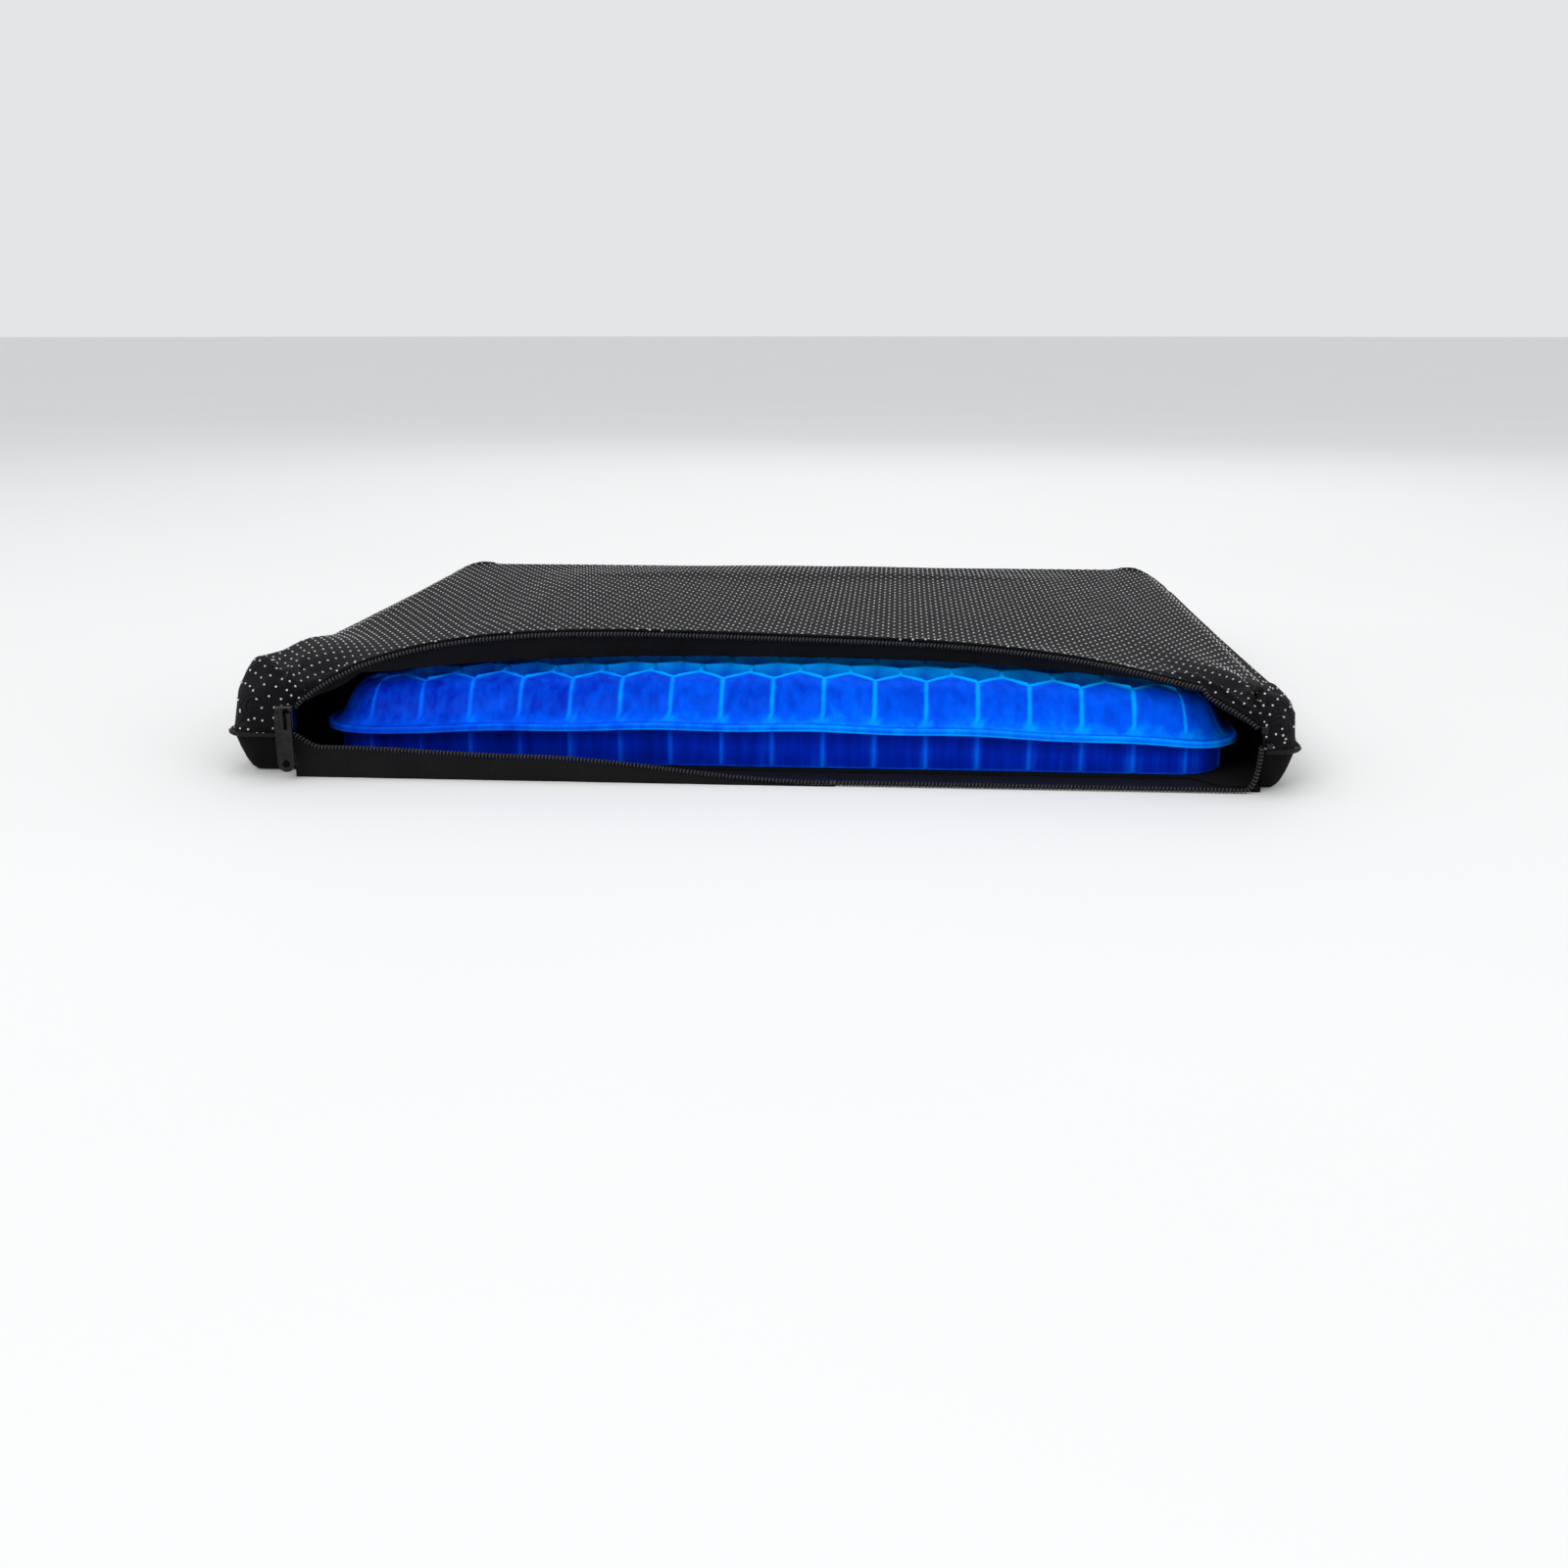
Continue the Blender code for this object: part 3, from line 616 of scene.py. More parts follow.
def top_point(kind, share, row):
    in_mouth = kind == "mouth" and abs(share) < 0.999
    start = lip_y(share) if in_mouth else FRONT_Y
    y = start + (BACK_Y - start) * row_share(row)
    x = column_x(kind, share, y)
    rise = (COVER_HEIGHT - SEAM_MEET) * edge_rise(half_width(y) - abs(x)) * edge_rise(BACK_Y - y)
    aside, behind = (x - EAR_X) / EAR_WIDE, (y - EAR_Y) / EAR_DEEP
    puff = EAR_PUFF * math.exp(-(aside**2) - behind**2)
    rise *= 1.0 + puff / (COVER_HEIGHT - SEAM_MEET)
    if not in_mouth:
        return (x, y, SEAM_MEET + rise * edge_rise(y - FRONT_Y))
    full = lip_fullness(share)
    body = SEAM_MEET + rise
    reach = (8.0 + 27.0 * (1.0 - share**2)) * MM
    fold = lip_height(share) + LIP_FOLD * full
    z = body + (fold - body) * math.exp(-(y - start) / reach)
    turned_down = (LIP_FOLD * full - COIL_RADIUS) * math.exp(-(y - start) / (1.6 * MM))
    return (x, y, z - turned_down)


def lower_lip_stand(share):
    """How high the lower lip stands: full at the left, lying flat from the middle to the right."""
    stand = bpy.context.scene.cushion_cover.lip_stand
    left = stand * (1.0 - 0.22 * eased(share, -0.9, -0.5)) * (1.0 - eased(share, -0.5, 0.1))
    corner = 6.0 * MM * (1.0 - eased(share, -1.0, -0.93))
    return left + corner + LOWER_COIL_FLOOR


def bottom_point(kind, share, row):
    in_mouth = kind == "mouth" and abs(share) < 0.999
    start = FRONT_Y
    if in_mouth:
        start += LOWER_LIP_SETBACK * (1.0 - 0.95 * eased(share, 0.86, 0.93))
    y = start + (BACK_Y - start) * row_share(row)
    x = column_x(kind, share, y)
    flat = tray_flatness(half_width(y) - abs(x)) * tray_flatness(BACK_Y - y)
    if not in_mouth:
        flat *= tray_flatness(y - FRONT_Y)
    return (x, y, SEAM_MEET * (1.0 - flat))


class PanelGrid:
    """A panel as rows and columns of points, with its flat pattern coordinates."""

    def __init__(self, point_at):
        self.columns = panel_columns()
        self.shape = (len(self.columns), PANEL_ROWS + 1)
        self.points = np.array([
            [point_at(kind, share, row) for row in range(PANEL_ROWS + 1)]
            for kind, share in self.columns])

    def normals(self):
        along = np.gradient(self.points, axis=0)
        back = np.gradient(self.points, axis=1)
        out = np.cross(along, back)
        return out / np.maximum(np.linalg.norm(out, axis=2, keepdims=True), 1e-9)

    def pattern(self):
        """Distances along the fabric: across from the middle column, forwards from the back seam."""
        across = np.zeros(self.shape)
        steps = np.linalg.norm(np.diff(self.points, axis=0), axis=2)
        across[1:] = np.cumsum(steps, axis=0)
        across -= across[self.shape[0] // 2]
        forwards = np.zeros(self.shape)
        steps = np.linalg.norm(np.diff(self.points, axis=1), axis=2)
        forwards[:, :-1] = np.cumsum(steps[:, ::-1], axis=1)[:, ::-1]
        return np.dstack([across, forwards])

    def mesh(self, name, faces_up=True):
        columns, rows = self.shape
        faces = []
        for c in range(columns - 1):
            for r in range(rows - 1):
                a = c * rows + r
                quad = (a, a + rows, a + rows + 1, a + 1)
                faces.append(quad if faces_up else quad[::-1])
        mesh = mesh_from(name, self.points.reshape(-1, 3), faces)
        pattern = self.pattern().reshape(-1, 2)
        layer = mesh.uv_layers.new(name="pattern")
        corners = np.empty(len(mesh.loops), dtype=np.int32)
        mesh.loops.foreach_get("vertex_index", corners)
        layer.data.foreach_set("uv", pattern[corners].ravel())
        return mesh


def settle_fabric(piece, grid):
    """Cloth simulation of the sewn top panel over the pad, with spare fabric at the corners."""
    settings = bpy.context.scene.cushion_cover
    columns, rows = grid.shape
    sewn = piece.vertex_groups.new(name="sewn")
    spare = piece.vertex_groups.new(name="spare")
    start = grid.points.reshape(-1, 3).copy()
    for index, (x, y, z) in enumerate(start):
        column, row = divmod(index, rows)
        at_seam = column in (0, columns - 1) or row in (0, 1, rows - 1)
        sewn.add([index], 1.0 if at_seam else 0.0, "REPLACE")
        away = min(math.hypot(x - corner, y - FRONT_Y) for corner in (MOUTH_LEFT, MOUTH_RIGHT))
        spare.add([index], 1.0 - eased(away, 40.0 * MM, 120.0 * MM), "REPLACE")
    pad = add_object("pad_stand_in", bpy.data.objects["gel_insert"].data.copy())
    pad.modifiers.new("solid", "COLLISION")
    pad.collision.thickness_outer = 2.6 * MM
    cloth = piece.modifiers.new("settle", "CLOTH")
    cloth.settings.quality = 6
    cloth.settings.mass = 0.05
    cloth.settings.tension_stiffness = 12.0
    cloth.settings.compression_stiffness = 12.0
    cloth.settings.bending_stiffness = 0.02
    cloth.settings.vertex_group_mass = "sewn"
    cloth.settings.pin_stiffness = 1.0
    cloth.settings.vertex_group_shrink = "spare"
    cloth.settings.shrink_min = 0.0
    cloth.settings.shrink_max = -settings.slack
    cloth.settings.effector_weights.gravity = 0.08
    cloth.collision_settings.distance_min = 0.8 * MM
    cloth.collision_settings.use_self_collision = False
    cloth.point_cache.frame_start = 1
    cloth.point_cache.frame_end = SETTLING_FRAMES
    for moment in range(1, SETTLING_FRAMES + 1):
        bpy.context.scene.frame_set(moment)
    settled = plain_copy(piece, "settled")
    moved = np.array([v.co for v in settled.data.vertices]) - start
    bpy.context.scene.frame_set(1)
    piece.modifiers.remove(cloth)
    piece.vertex_groups.clear()
    for used in (pad, settled):
        bpy.data.objects.remove(used, do_unlink=True)
    length = np.linalg.norm(moved, axis=1, keepdims=True)
    moved *= np.minimum(1.0, settings.move_cap / np.maximum(length, 1e-9))
    grid.points = (start + moved).reshape(*grid.shape, 3)
    piece.data.vertices.foreach_set("co", grid.points.ravel())
    piece.data.update()


def thicken(panel, thickness):
    cloth = panel.modifiers.new("fabric", "SOLIDIFY")
    cloth.thickness = thickness
    cloth.offset = -1.0


TOP_GRID = {}  # the settled top panel, for the dots and the stitches


# Shape of the gel pad


def panel_lines():
    """Where the ribs between the outer panels stand, as distances round the pad's side wall."""
    half_x, half_y = GEL_HALF_X - FLANGE_OUT, GEL_HALF_Y - FLANGE_OUT
    flat_x, flat_y = half_x - GEL_CORNER, half_y - GEL_CORNER
    pitch = bpy.context.scene.cushion_gel.cell_pitch
    quarter = 0.5 * math.pi * GEL_CORNER
    around = 4.0 * (flat_x + flat_y) + 4.0 * quarter
    right = [i * pitch for i in range(int(flat_x / pitch) + 1)]
    lean = math.asin((len(right) * pitch - flat_x) / GEL_CORNER)
    right.append(flat_x + GEL_CORNER * lean)
    right += [flat_x + GEL_CORNER * math.radians(62.0), flat_x + quarter]
    side = [flat_x + quarter + 2.0 * flat_y * i / 15 for i in range(1, 15)]
    half = right + side + [around / 2.0 - s for s in reversed(right)]
    return half + [around - s for s in reversed(half[1:-1])], around


def wall_point(distance):
    """Point and outward direction at this distance round the side wall, from the front's middle."""
    flat_x = GEL_HALF_X - FLANGE_OUT - GEL_CORNER
    flat_y = GEL_HALF_Y - FLANGE_OUT - GEL_CORNER
    quarter = 0.5 * math.pi * GEL_CORNER
    runs = (
        (flat_x, (0.0, -1.0), (1.0, 0.0), (0.0, -flat_y)),
        (quarter, (1.0, -1.0), None, -90.0),
        (2.0 * flat_y, (1.0, 0.0), (0.0, 1.0), (flat_x, -flat_y)),
        (quarter, (1.0, 1.0), None, 0.0),
        (2.0 * flat_x, (0.0, 1.0), (-1.0, 0.0), (flat_x, flat_y)),
        (quarter, (-1.0, 1.0), None, 90.0),
        (2.0 * flat_y, (-1.0, 0.0), (0.0, -1.0), (-flat_x, flat_y)),
        (quarter, (-1.0, -1.0), None, 180.0),
        (flat_x + 1.0, (0.0, -1.0), (1.0, 0.0), (-flat_x, -flat_y)),
    )
    for length, side, along, first in runs:
        if distance > length:
            distance -= length
            continue
        if along is None:
            turn = math.radians(first) + distance / GEL_CORNER
            out = Vector((math.cos(turn), math.sin(turn), 0.0))
            corner = Vector((side[0] * flat_x, side[1] * flat_y, 0.0))
            return corner + GEL_CORNER * out, out
        out = Vector((*side, 0.0))
        start = Vector((first[0], first[1], 0.0)) + GEL_CORNER * out
        return start + distance * Vector((*along, 0.0)), out
    raise RuntimeError("the distance is past the end of the wall")


def gel_profile(share, on_long_side):
    """The wall's section at this share across a panel: (inset, height, painted light) from foot to rim."""
    on_rib = share < 0.02
    by_rib = share < 0.1 or share > 0.9
    puff = (1.0 - (2.0 * share - 1.0) ** 2) ** 0.5
    ridge = 0.45 * MM if on_rib else 0.0
    crease = 0.3 * MM if abs(share - 0.5) < 0.02 else 0.0
    peak = 1.0 - abs(2.0 * share - 1.0)
    # Painted highlight on the ribs: they are painted lighter than the panels between them.
    rib_painted_light = 0.62 if on_rib else (0.34 if by_rib else 0.27)
    # The third value of each point is painted light: painted shade under the flange, painted highlights
    # along the flange's edges and top.
    section = [
        (1.2 * MM, GEL_FOOT, 0.5),
        (0.3 * MM, GEL_FOOT + 0.3 * MM, 0.55),
        (-ridge - crease, GEL_FOOT + 1.1 * MM, rib_painted_light),
        (-ridge - crease, GEL_FOOT + 6.0 * MM, rib_painted_light),
        (-ridge - crease, FLANGE_LOW - 1.2 * MM, rib_painted_light * 0.8),
        (-0.8 * MM, FLANGE_LOW - 0.2 * MM, 0.25),
        (-FLANGE_OUT + 0.7 * MM, FLANGE_LOW, 0.45),
        (-FLANGE_OUT + 0.1 * MM, FLANGE_LOW + 0.5 * MM, 0.92),
        (-FLANGE_OUT, FLANGE_LOW + 1.4 * MM, 0.58),
        (-FLANGE_OUT + 0.1 * MM, FLANGE_HIGH - 0.5 * MM, 0.74),
        (-FLANGE_OUT + 0.8 * MM, FLANGE_HIGH, 0.7),
        (-FLANGE_OUT + 2.6 * MM, FLANGE_HIGH - 0.3 * MM, 0.55),
        (-1.6 * MM - 0.6 * MM * puff, FLANGE_HIGH + 0.1 * MM, 0.72 if by_rib else 0.64),
        (-0.5 * MM - 0.5 * MM * puff, FLANGE_HIGH + 0.9 * MM, 0.78 if by_rib else 0.6),
    ]
    reach = SHOULDER_IN + (6.06 * MM if on_long_side else 3.0 * MM) * peak
    top = SHOULDER_TOP + PEAK_RISE * peak
    for step in range(1, 8):
        t = step / 8.0
        climb = 1.0 - (1.0 - t) ** 2
        bulge = 0.9 * MM * puff * math.sin(math.pi * min(t * 1.1, 1.0)) + ridge
        # Painted highlight on the ribs; the panels are painted a little darker midway up the shoulder.
        painted_light = 0.92 if on_rib else 0.56 - 0.1 * math.sin(math.pi * t)
        height = FLANGE_HIGH + (top - FLANGE_HIGH) * climb
        section.append((reach * t - 0.7 * bulge, height + 0.7 * bulge, painted_light))
    section.append((reach - 0.35 * MM, top, 0.98))
    section.append((reach + 0.75 * MM, top + 0.25 * MM, 0.98))
    return section


def gel_blank():
    """The pad before its cells are cut, not yet arched, with the painted light of each of its points."""
    lines, around = panel_lines()
    shares = (0.0, 0.07, 0.2, 0.35, 0.5, 0.65, 0.8, 0.93)
    rings = []
    for first, last in zip(lines, lines[1:] + [around]):
        for share in shares:
            place, out = wall_point(first + (last - first) * share)
            long_side = abs(out.y) > 0.5
            rings.append([
                (place.x - out.x * inset, place.y - out.y * inset, height, painted_light)
                for inset, height, painted_light in gel_profile(share, long_side)])
    depth = len(rings[0])
    points = [p[:3] for ring in rings for p in ring]
    painted_lights = [p[3] for ring in rings for p in ring]
    count = len(rings)
    faces = []
    for k in range(count):
        a, b = k * depth, (k + 1) % count * depth
        faces += [(a + i, b + i, b + i + 1, a + i + 1) for i in range(depth - 1)]
    rim_height = SHOULDER_TOP + PEAK_RISE + 0.3 * MM
    inner = len(points)
    for k in range(count):
        x, y, _ = points[k * depth + depth - 1]
        length = math.hypot(x, y)
        points.append((x - x / length * 1.5 * MM, y - y / length * 1.5 * MM, rim_height))
        # A painted highlight along the rim's top edge.
        painted_lights.append(0.9)
    for k in range(count):
        a, b = k * depth + depth - 1, (k + 1) % count * depth + depth - 1
        faces.append((a, b, inner + (k + 1) % count, inner + k))
    faces.append(tuple(inner + k for k in range(count)))
    faces.append(tuple(k * depth for k in reversed(range(count))))
    return points, faces, painted_lights


def cell_places():
    """Middles of the open cells: rows of pointed cells, every other row half a cell along."""
    pitch = bpy.context.scene.cushion_gel.cell_pitch
    side = pitch / math.sqrt(3.0)
    half_x = GEL_HALF_X - FLANGE_OUT - SHOULDER_IN
    half_y = GEL_HALF_Y - FLANGE_OUT - SHOULDER_IN
    radius = GEL_CORNER - SHOULDER_IN
    places = []
    row = 0
    y = -half_y + side
    while y + side <= half_y:
        shift = 0.5 * pitch if row % 2 else 0.0
        for i in range(-10, 11):
            x = i * pitch + shift
            inside = True
            for k in range(6):
                turn = math.radians(30.0 + 60.0 * k)
                px, py = abs(x + 0.96 * side * math.cos(turn)), abs(y + 0.96 * side * math.sin(turn))
                dx, dy = max(px - half_x + radius, 0.0), max(py - half_y + radius, 0.0)
                inside = inside and px <= half_x and py <= half_y and math.hypot(dx, dy) <= radius
            if inside:
                places.append((x, y, 0.0))
        row += 1
        y += 1.5 * side
    return places


def cell_cutters(name, floor, rim, beyond):
    """Grows one six-sided cutter on every cell place, from its floor through its flared rim."""
    settings = bpy.context.scene.cushion_gel
    inner = (settings.cell_pitch - settings.wall) / math.sqrt(3.0)
    growth = Growth(
        "honeycomb_cells", Sides=6, Floor_radius=inner * 0.975, Rim_radius=inner,
        Flare=1.0 + settings.rim_flare / inner, Depth=abs(rim - floor) - 0.5 * MM,
        Rim_depth=0.5 * MM, Beyond=beyond)
    at = growth.start
    cell = growth.add("GeometryNodeMeshCone", {
        "Vertices": at["Sides"], "Side Segments": 1, "Radius Top": at["Rim_radius"],
        "Radius Bottom": at["Floor_radius"], "Depth": at["Depth"]}, fill_type="NGON")
    body, lid = cell.outputs["Mesh"], cell.outputs["Top"]
    for length, scale in ((at["Rim_depth"], at["Flare"]), (at["Beyond"], 1.0)):
        pushed = growth.add("GeometryNodeExtrudeMesh", {
            "Mesh": body, "Selection": lid, "Offset Scale": length})
        lid = pushed.outputs["Top"]
        body = growth.add("GeometryNodeScaleElements", {
            "Geometry": pushed.outputs["Mesh"], "Selection": lid, "Scale": scale}).outputs["Geometry"]
    flip = 0.0 if rim > floor else math.pi
    turned = growth.add("GeometryNodeTransform", {
        "Geometry": body, "Rotation": (flip, 0.0, math.radians(30.0))})
    growth.strew(turned.outputs["Geometry"])
    places = [(x, y, floor) for x, y, _ in cell_places()]
    return growth.run(name, mesh_from(name, places), None)


def arched(x, y, z):
    """Lifts a point of the flat pad onto its arch, leaves its foot flat, and moves it into place."""
    share = min(max((z - GEL_FOOT) / (FLANGE_LOW - GEL_FOOT), 0.0), 1.0)
    wave = 0.35 * MM * math.sin(x * 95.0) * eased(z, 10.0 * MM, 16.0 * MM)
    return Vector((x, y, z + arch(x) * share + wave)) + GEL_MIDDLE


class CUSHION_OT_gel_pad(bpy.types.Operator):
    """Make the honeycomb gel pad"""

    bl_idname = "cushion.gel_pad"
    bl_label = "Gel pad"

    def execute(self, context):
        settings = context.scene.cushion_gel
        points, faces, painted_lights = gel_blank()
        blank = add_object("blank", mesh_from("blank", points, faces))
        outer = KDTree(len(points))
        for index, point in enumerate(points):
            outer.insert(point, index)
        outer.balance()
        middle = (FLANGE_LOW + FLANGE_HIGH) / 2.0
        rim = SHOULDER_TOP + PEAK_RISE + 0.3 * MM
        cutters = (
            cell_cutters("upper_cells", middle + settings.membrane / 2.0, rim, 3.0 * MM),
            cell_cutters("lower_cells", middle - settings.membrane / 2.0, GEL_FOOT, 3.0 * MM),
        )
        for cutter in cutters:
            step = blank.modifiers.new(cutter.name, "BOOLEAN")
            step.operation = "DIFFERENCE"
            step.solver = "MANIFOLD"
            step.object = cutter
        pad = plain_copy(blank, "gel_pad")
        for used in (blank, *cutters):
            bpy.data.objects.remove(used, do_unlink=True)
        mesh = pad.data
        if len(mesh.vertices) < 3 * len(points) // 2:
            raise RuntimeError("the cells were not cut")
        # Painted light on the cut pad: a painted highlight on the cell walls' rims, painted shade deep in
        # the upper cells and on the membrane, and the lower cells a little darker than the outer panels.
        painted_light = mesh.attributes.new("painted_light", "FLOAT", "POINT")
        for index, vertex in enumerate(mesh.vertices):
            _, near, gap = outer.find(vertex.co)
            if gap < 0.01 * MM:
                level = painted_lights[near]
            elif vertex.co.z > rim - 1.0 * MM:
                level = 0.95
            elif vertex.co.z > middle + 0.5 * MM:
                level = 0.06
            elif vertex.co.z > middle - 2.0 * MM:
                level = 0.1
            else:
                level = 0.5
            painted_light.data[index].value = level
            vertex.co = arched(*vertex.co)
        mesh.materials.clear()
        mesh.materials.append(finish_named("gel"))
        smooth(mesh, 32.0)
        hand_over(pad, "gel", "gel", "gel_insert")
        return {"FINISHED"}


class CUSHION_OT_cover_top(bpy.types.Operator):
    """Make the dotted knit top panel and let it settle over the pad"""

    bl_idname = "cushion.cover_top"
    bl_label = "Cover, top panel"

    def execute(self, context):
        grid = PanelGrid(top_point)
        out = grid.normals()
        for c in range(grid.shape[0]):
            for r in range(grid.shape[1]):
                x, y, _ = grid.points[c, r]
                edge = min(c, grid.shape[0] - 1 - c, r) / 5.0
                grid.points[c, r] += out[c, r] * corner_folds(x, y) * min(edge, 1.0)
        panel = add_object("cover_top", grid.mesh("cover_top"), finish_named("dotted_knit"))
        settle_fabric(panel, grid)
        panel.data.shade_smooth()
        thicken(panel, TOP_FABRIC)
        TOP_GRID["grid"] = grid
        hand_over(panel, "cover", "dotted_knit", "cover_top_panel")
        return {"FINISHED"}


class CUSHION_OT_cover_bottom(bpy.types.Operator):
    """Make the plain knit bottom panel"""

    bl_idname = "cushion.cover_bottom"
    bl_label = "Cover, bottom panel"

    def execute(self, context):
        grid = PanelGrid(bottom_point)
        mesh = grid.mesh("cover_bottom", faces_up=False)
        panel = add_object("cover_bottom", mesh, finish_named("plain_knit"))
        panel.data.shade_smooth()
        thicken(panel, BOTTOM_FABRIC)
        hand_over(panel, "cover", "plain_knit", "cover_bottom_panel")
        return {"FINISHED"}


def top_dots():
    """Places of the dots on the settled top panel: a lattice in the fabric's own pattern."""
    spacing = bpy.context.scene.cushion_cover.dot_spacing
    grid = TOP_GRID["grid"]
    pattern, normals = grid.pattern(), grid.normals()
    row_pitch = spacing * math.sqrt(3.0) / 2.0
    places, directions = [], []
    columns, rows = grid.shape
    for c in range(columns - 1):
        for r in range(rows - 1):
            corners = ((c, r), (c + 1, r), (c + 1, r + 1), (c, r + 1))
            for trio in ((0, 1, 2), (0, 2, 3)):
                picked = [corners[k] for k in trio]
                (ax, ay), (bx, by), (cx, cy) = (pattern[p] for p in picked)
                area = (bx - ax) * (cy - ay) - (cx - ax) * (by - ay)
                if abs(area) < 1e-12:
                    continue
                lowest = math.ceil(min(ay, by, cy) / row_pitch)
                highest = math.floor(max(ay, by, cy) / row_pitch)
                for row in range(lowest, highest + 1):
                    shift = 0.5 * (row % 2)
                    first = math.ceil(min(ax, bx, cx) / spacing - shift)
                    last = math.floor(max(ax, bx, cx) / spacing - shift)
                    for place in range(first, last + 1):
                        u, v = (place + shift) * spacing, row * row_pitch
                        second = ((u - ax) * (cy - ay) - (cx - ax) * (v - ay)) / area
                        third = ((bx - ax) * (v - ay) - (u - ax) * (by - ay)) / area
                        if second < 0.0 or third < 0.0 or second + third >= 1.0:
                            continue
                        weights = (1.0 - second - third, second, third)
                        places.append(sum(w * grid.points[p] for w, p in zip(weights, picked)))
                        directions.append(sum(w * normals[p] for w, p in zip(weights, picked)))
    return places, directions


class CUSHION_OT_raised_dots(bpy.types.Operator):
    """Set the raised dots on the top panel"""

    bl_idname = "cushion.raised_dots"
    bl_label = "Raised dots"

    def execute(self, context):
        settings = context.scene.cushion_cover
        places, directions = top_dots()
        mesh = mesh_from("dots", places)
        vector_attribute(mesh, "outward", directions)
        growth = Growth(
            "raised_dots", Segments=6, Rings=3, Radius=settings.dot_width / 2.0,
            Height_share=2.0 * settings.dot_height / settings.dot_width)
        at = growth.start
        bead = growth.add("GeometryNodeMeshUVSphere", {
            "Segments": at["Segments"], "Rings": at["Rings"], "Radius": at["Radius"]})
        size = growth.add("ShaderNodeCombineXYZ", {"X": 1.0, "Y": 1.0, "Z": at["Height_share"]})
        flat = growth.add("GeometryNodeTransform", {
            "Geometry": bead.outputs["Mesh"], "Scale": size.outputs["Vector"]})
        growth.strew(flat.outputs["Geometry"], along="outward")
        dots = growth.run("raised_dots", mesh, finish_named("dot"))
        dots.data.shade_smooth()
        hand_over(dots, "cover", "dotted_knit")
        return {"FINISHED"}


# The zip


def upper_lip_path(reach=LIP_END):
    path = []
    for i in range(LIP_STEPS + 1):
        share = -reach * math.cos(math.pi * i / LIP_STEPS)
        x = MOUTH_MIDDLE + MOUTH_HALF * share
        path.append(Vector((x, lip_y(share) - COIL_RADIUS - 0.7 * MM, lip_height(share) - 0.5 * MM)))
    return path


def lower_corner_path(side):
    """The lower coil's bend at one corner of the mouth, from the corner down to the floor."""
    path = []
    end = MOUTH_LEFT + COIL_INSET if side < 0 else MOUTH_RIGHT - COIL_INSET
    for i in range(13):
        turn = 0.5 * math.pi * (1.0 - i / 12)
        x = end - side * LOWER_COIL_CORNER * (1.0 - math.sin(turn))
        z = LOWER_COIL_FLOOR + (LOWER_COIL_TOP - LOWER_COIL_FLOOR) * (1.0 - math.cos(turn))
        path.append(Vector((x, LOWER_COIL_Y, z)))
    return path


def standing_lip_path():
    """The part of the lower coil that stands up in front of the pad, from the left corner."""
    path = []
    first, last = -LIP_END, 0.14
    for i in range(91):
        share = first + (last - first) * i / 90
        path.append(Vector((MOUTH_MIDDLE + MOUTH_HALF * share, LOWER_COIL_Y, lower_lip_stand(share))))
    return path


def flat_lip_path():
    first = MOUTH_MIDDLE + MOUTH_HALF * 0.135
    last = MOUTH_RIGHT - COIL_INSET - LOWER_COIL_CORNER
    run = [Vector((first + (last - first) * i / 20, LOWER_COIL_Y, LOWER_COIL_FLOOR)) for i in range(20)]
    return run + lower_corner_path(1)[::-1]


def even_steps(path, pitch):
    """Points at an even pitch along a path, with the direction at each."""
    places, directions = [], []
    carried = 0.0
    for a, b in zip(path, path[1:]):
        run = (b - a).length
        if run == 0.0:
            continue
        while carried <= run:
            places.append(a + (b - a) * (carried / run))
            directions.append((b - a) / run)
            carried += pitch
        carried -= run
    return places, directions


def coil_growth():
    """One leaning turn of wire on each point: a slim ring across the coil."""
    settings = bpy.context.scene.cushion_zip
    growth = Growth("coil_turns", Radius=COIL_RADIUS - settings.wire, Wire=settings.wire,
                    Turn_points=10, Wire_points=5, Lean=0.35)
    at = growth.start
    turn = growth.add("GeometryNodeCurvePrimitiveCircle", {
        "Resolution": at["Turn_points"], "Radius": at["Radius"]}, mode="RADIUS")
    wire = growth.add("GeometryNodeCurvePrimitiveCircle", {
        "Resolution": at["Wire_points"], "Radius": at["Wire"]}, mode="RADIUS")
    ring = growth.add("GeometryNodeCurveToMesh", {
        "Curve": turn.outputs["Curve"], "Profile Curve": wire.outputs["Curve"]})
    lean = growth.add("ShaderNodeCombineXYZ", {"X": at["Lean"]})
    leaning = growth.add("GeometryNodeTransform", {
        "Geometry": ring.outputs["Mesh"], "Rotation": lean.outputs["Vector"]})
    growth.strew(leaning.outputs["Geometry"], along="along")
    return growth


def lofted(name, rings, finish):
    """A closed mesh through rings of points, one after another, with its two ends filled."""
    size = len(rings[0])
    points = [spot for ring in rings for spot in ring]
    faces = []
    for a in range(0, len(points) - size, size):
        for i in range(size):
            j = (i + 1) % size
            faces.append((a + i, a + j, a + size + j, a + size + i))
    faces.append(range(size)[::-1])
    faces.append(range(len(points) - size, len(points)))
    mesh = mesh_from(name, points, faces)
    work = bmesh.new()
    work.from_mesh(mesh)
    bmesh.ops.recalc_face_normals(work, faces=work.faces)
    work.to_mesh(mesh)
    work.free()
    smooth(mesh)
    return add_object(name, mesh, finish)


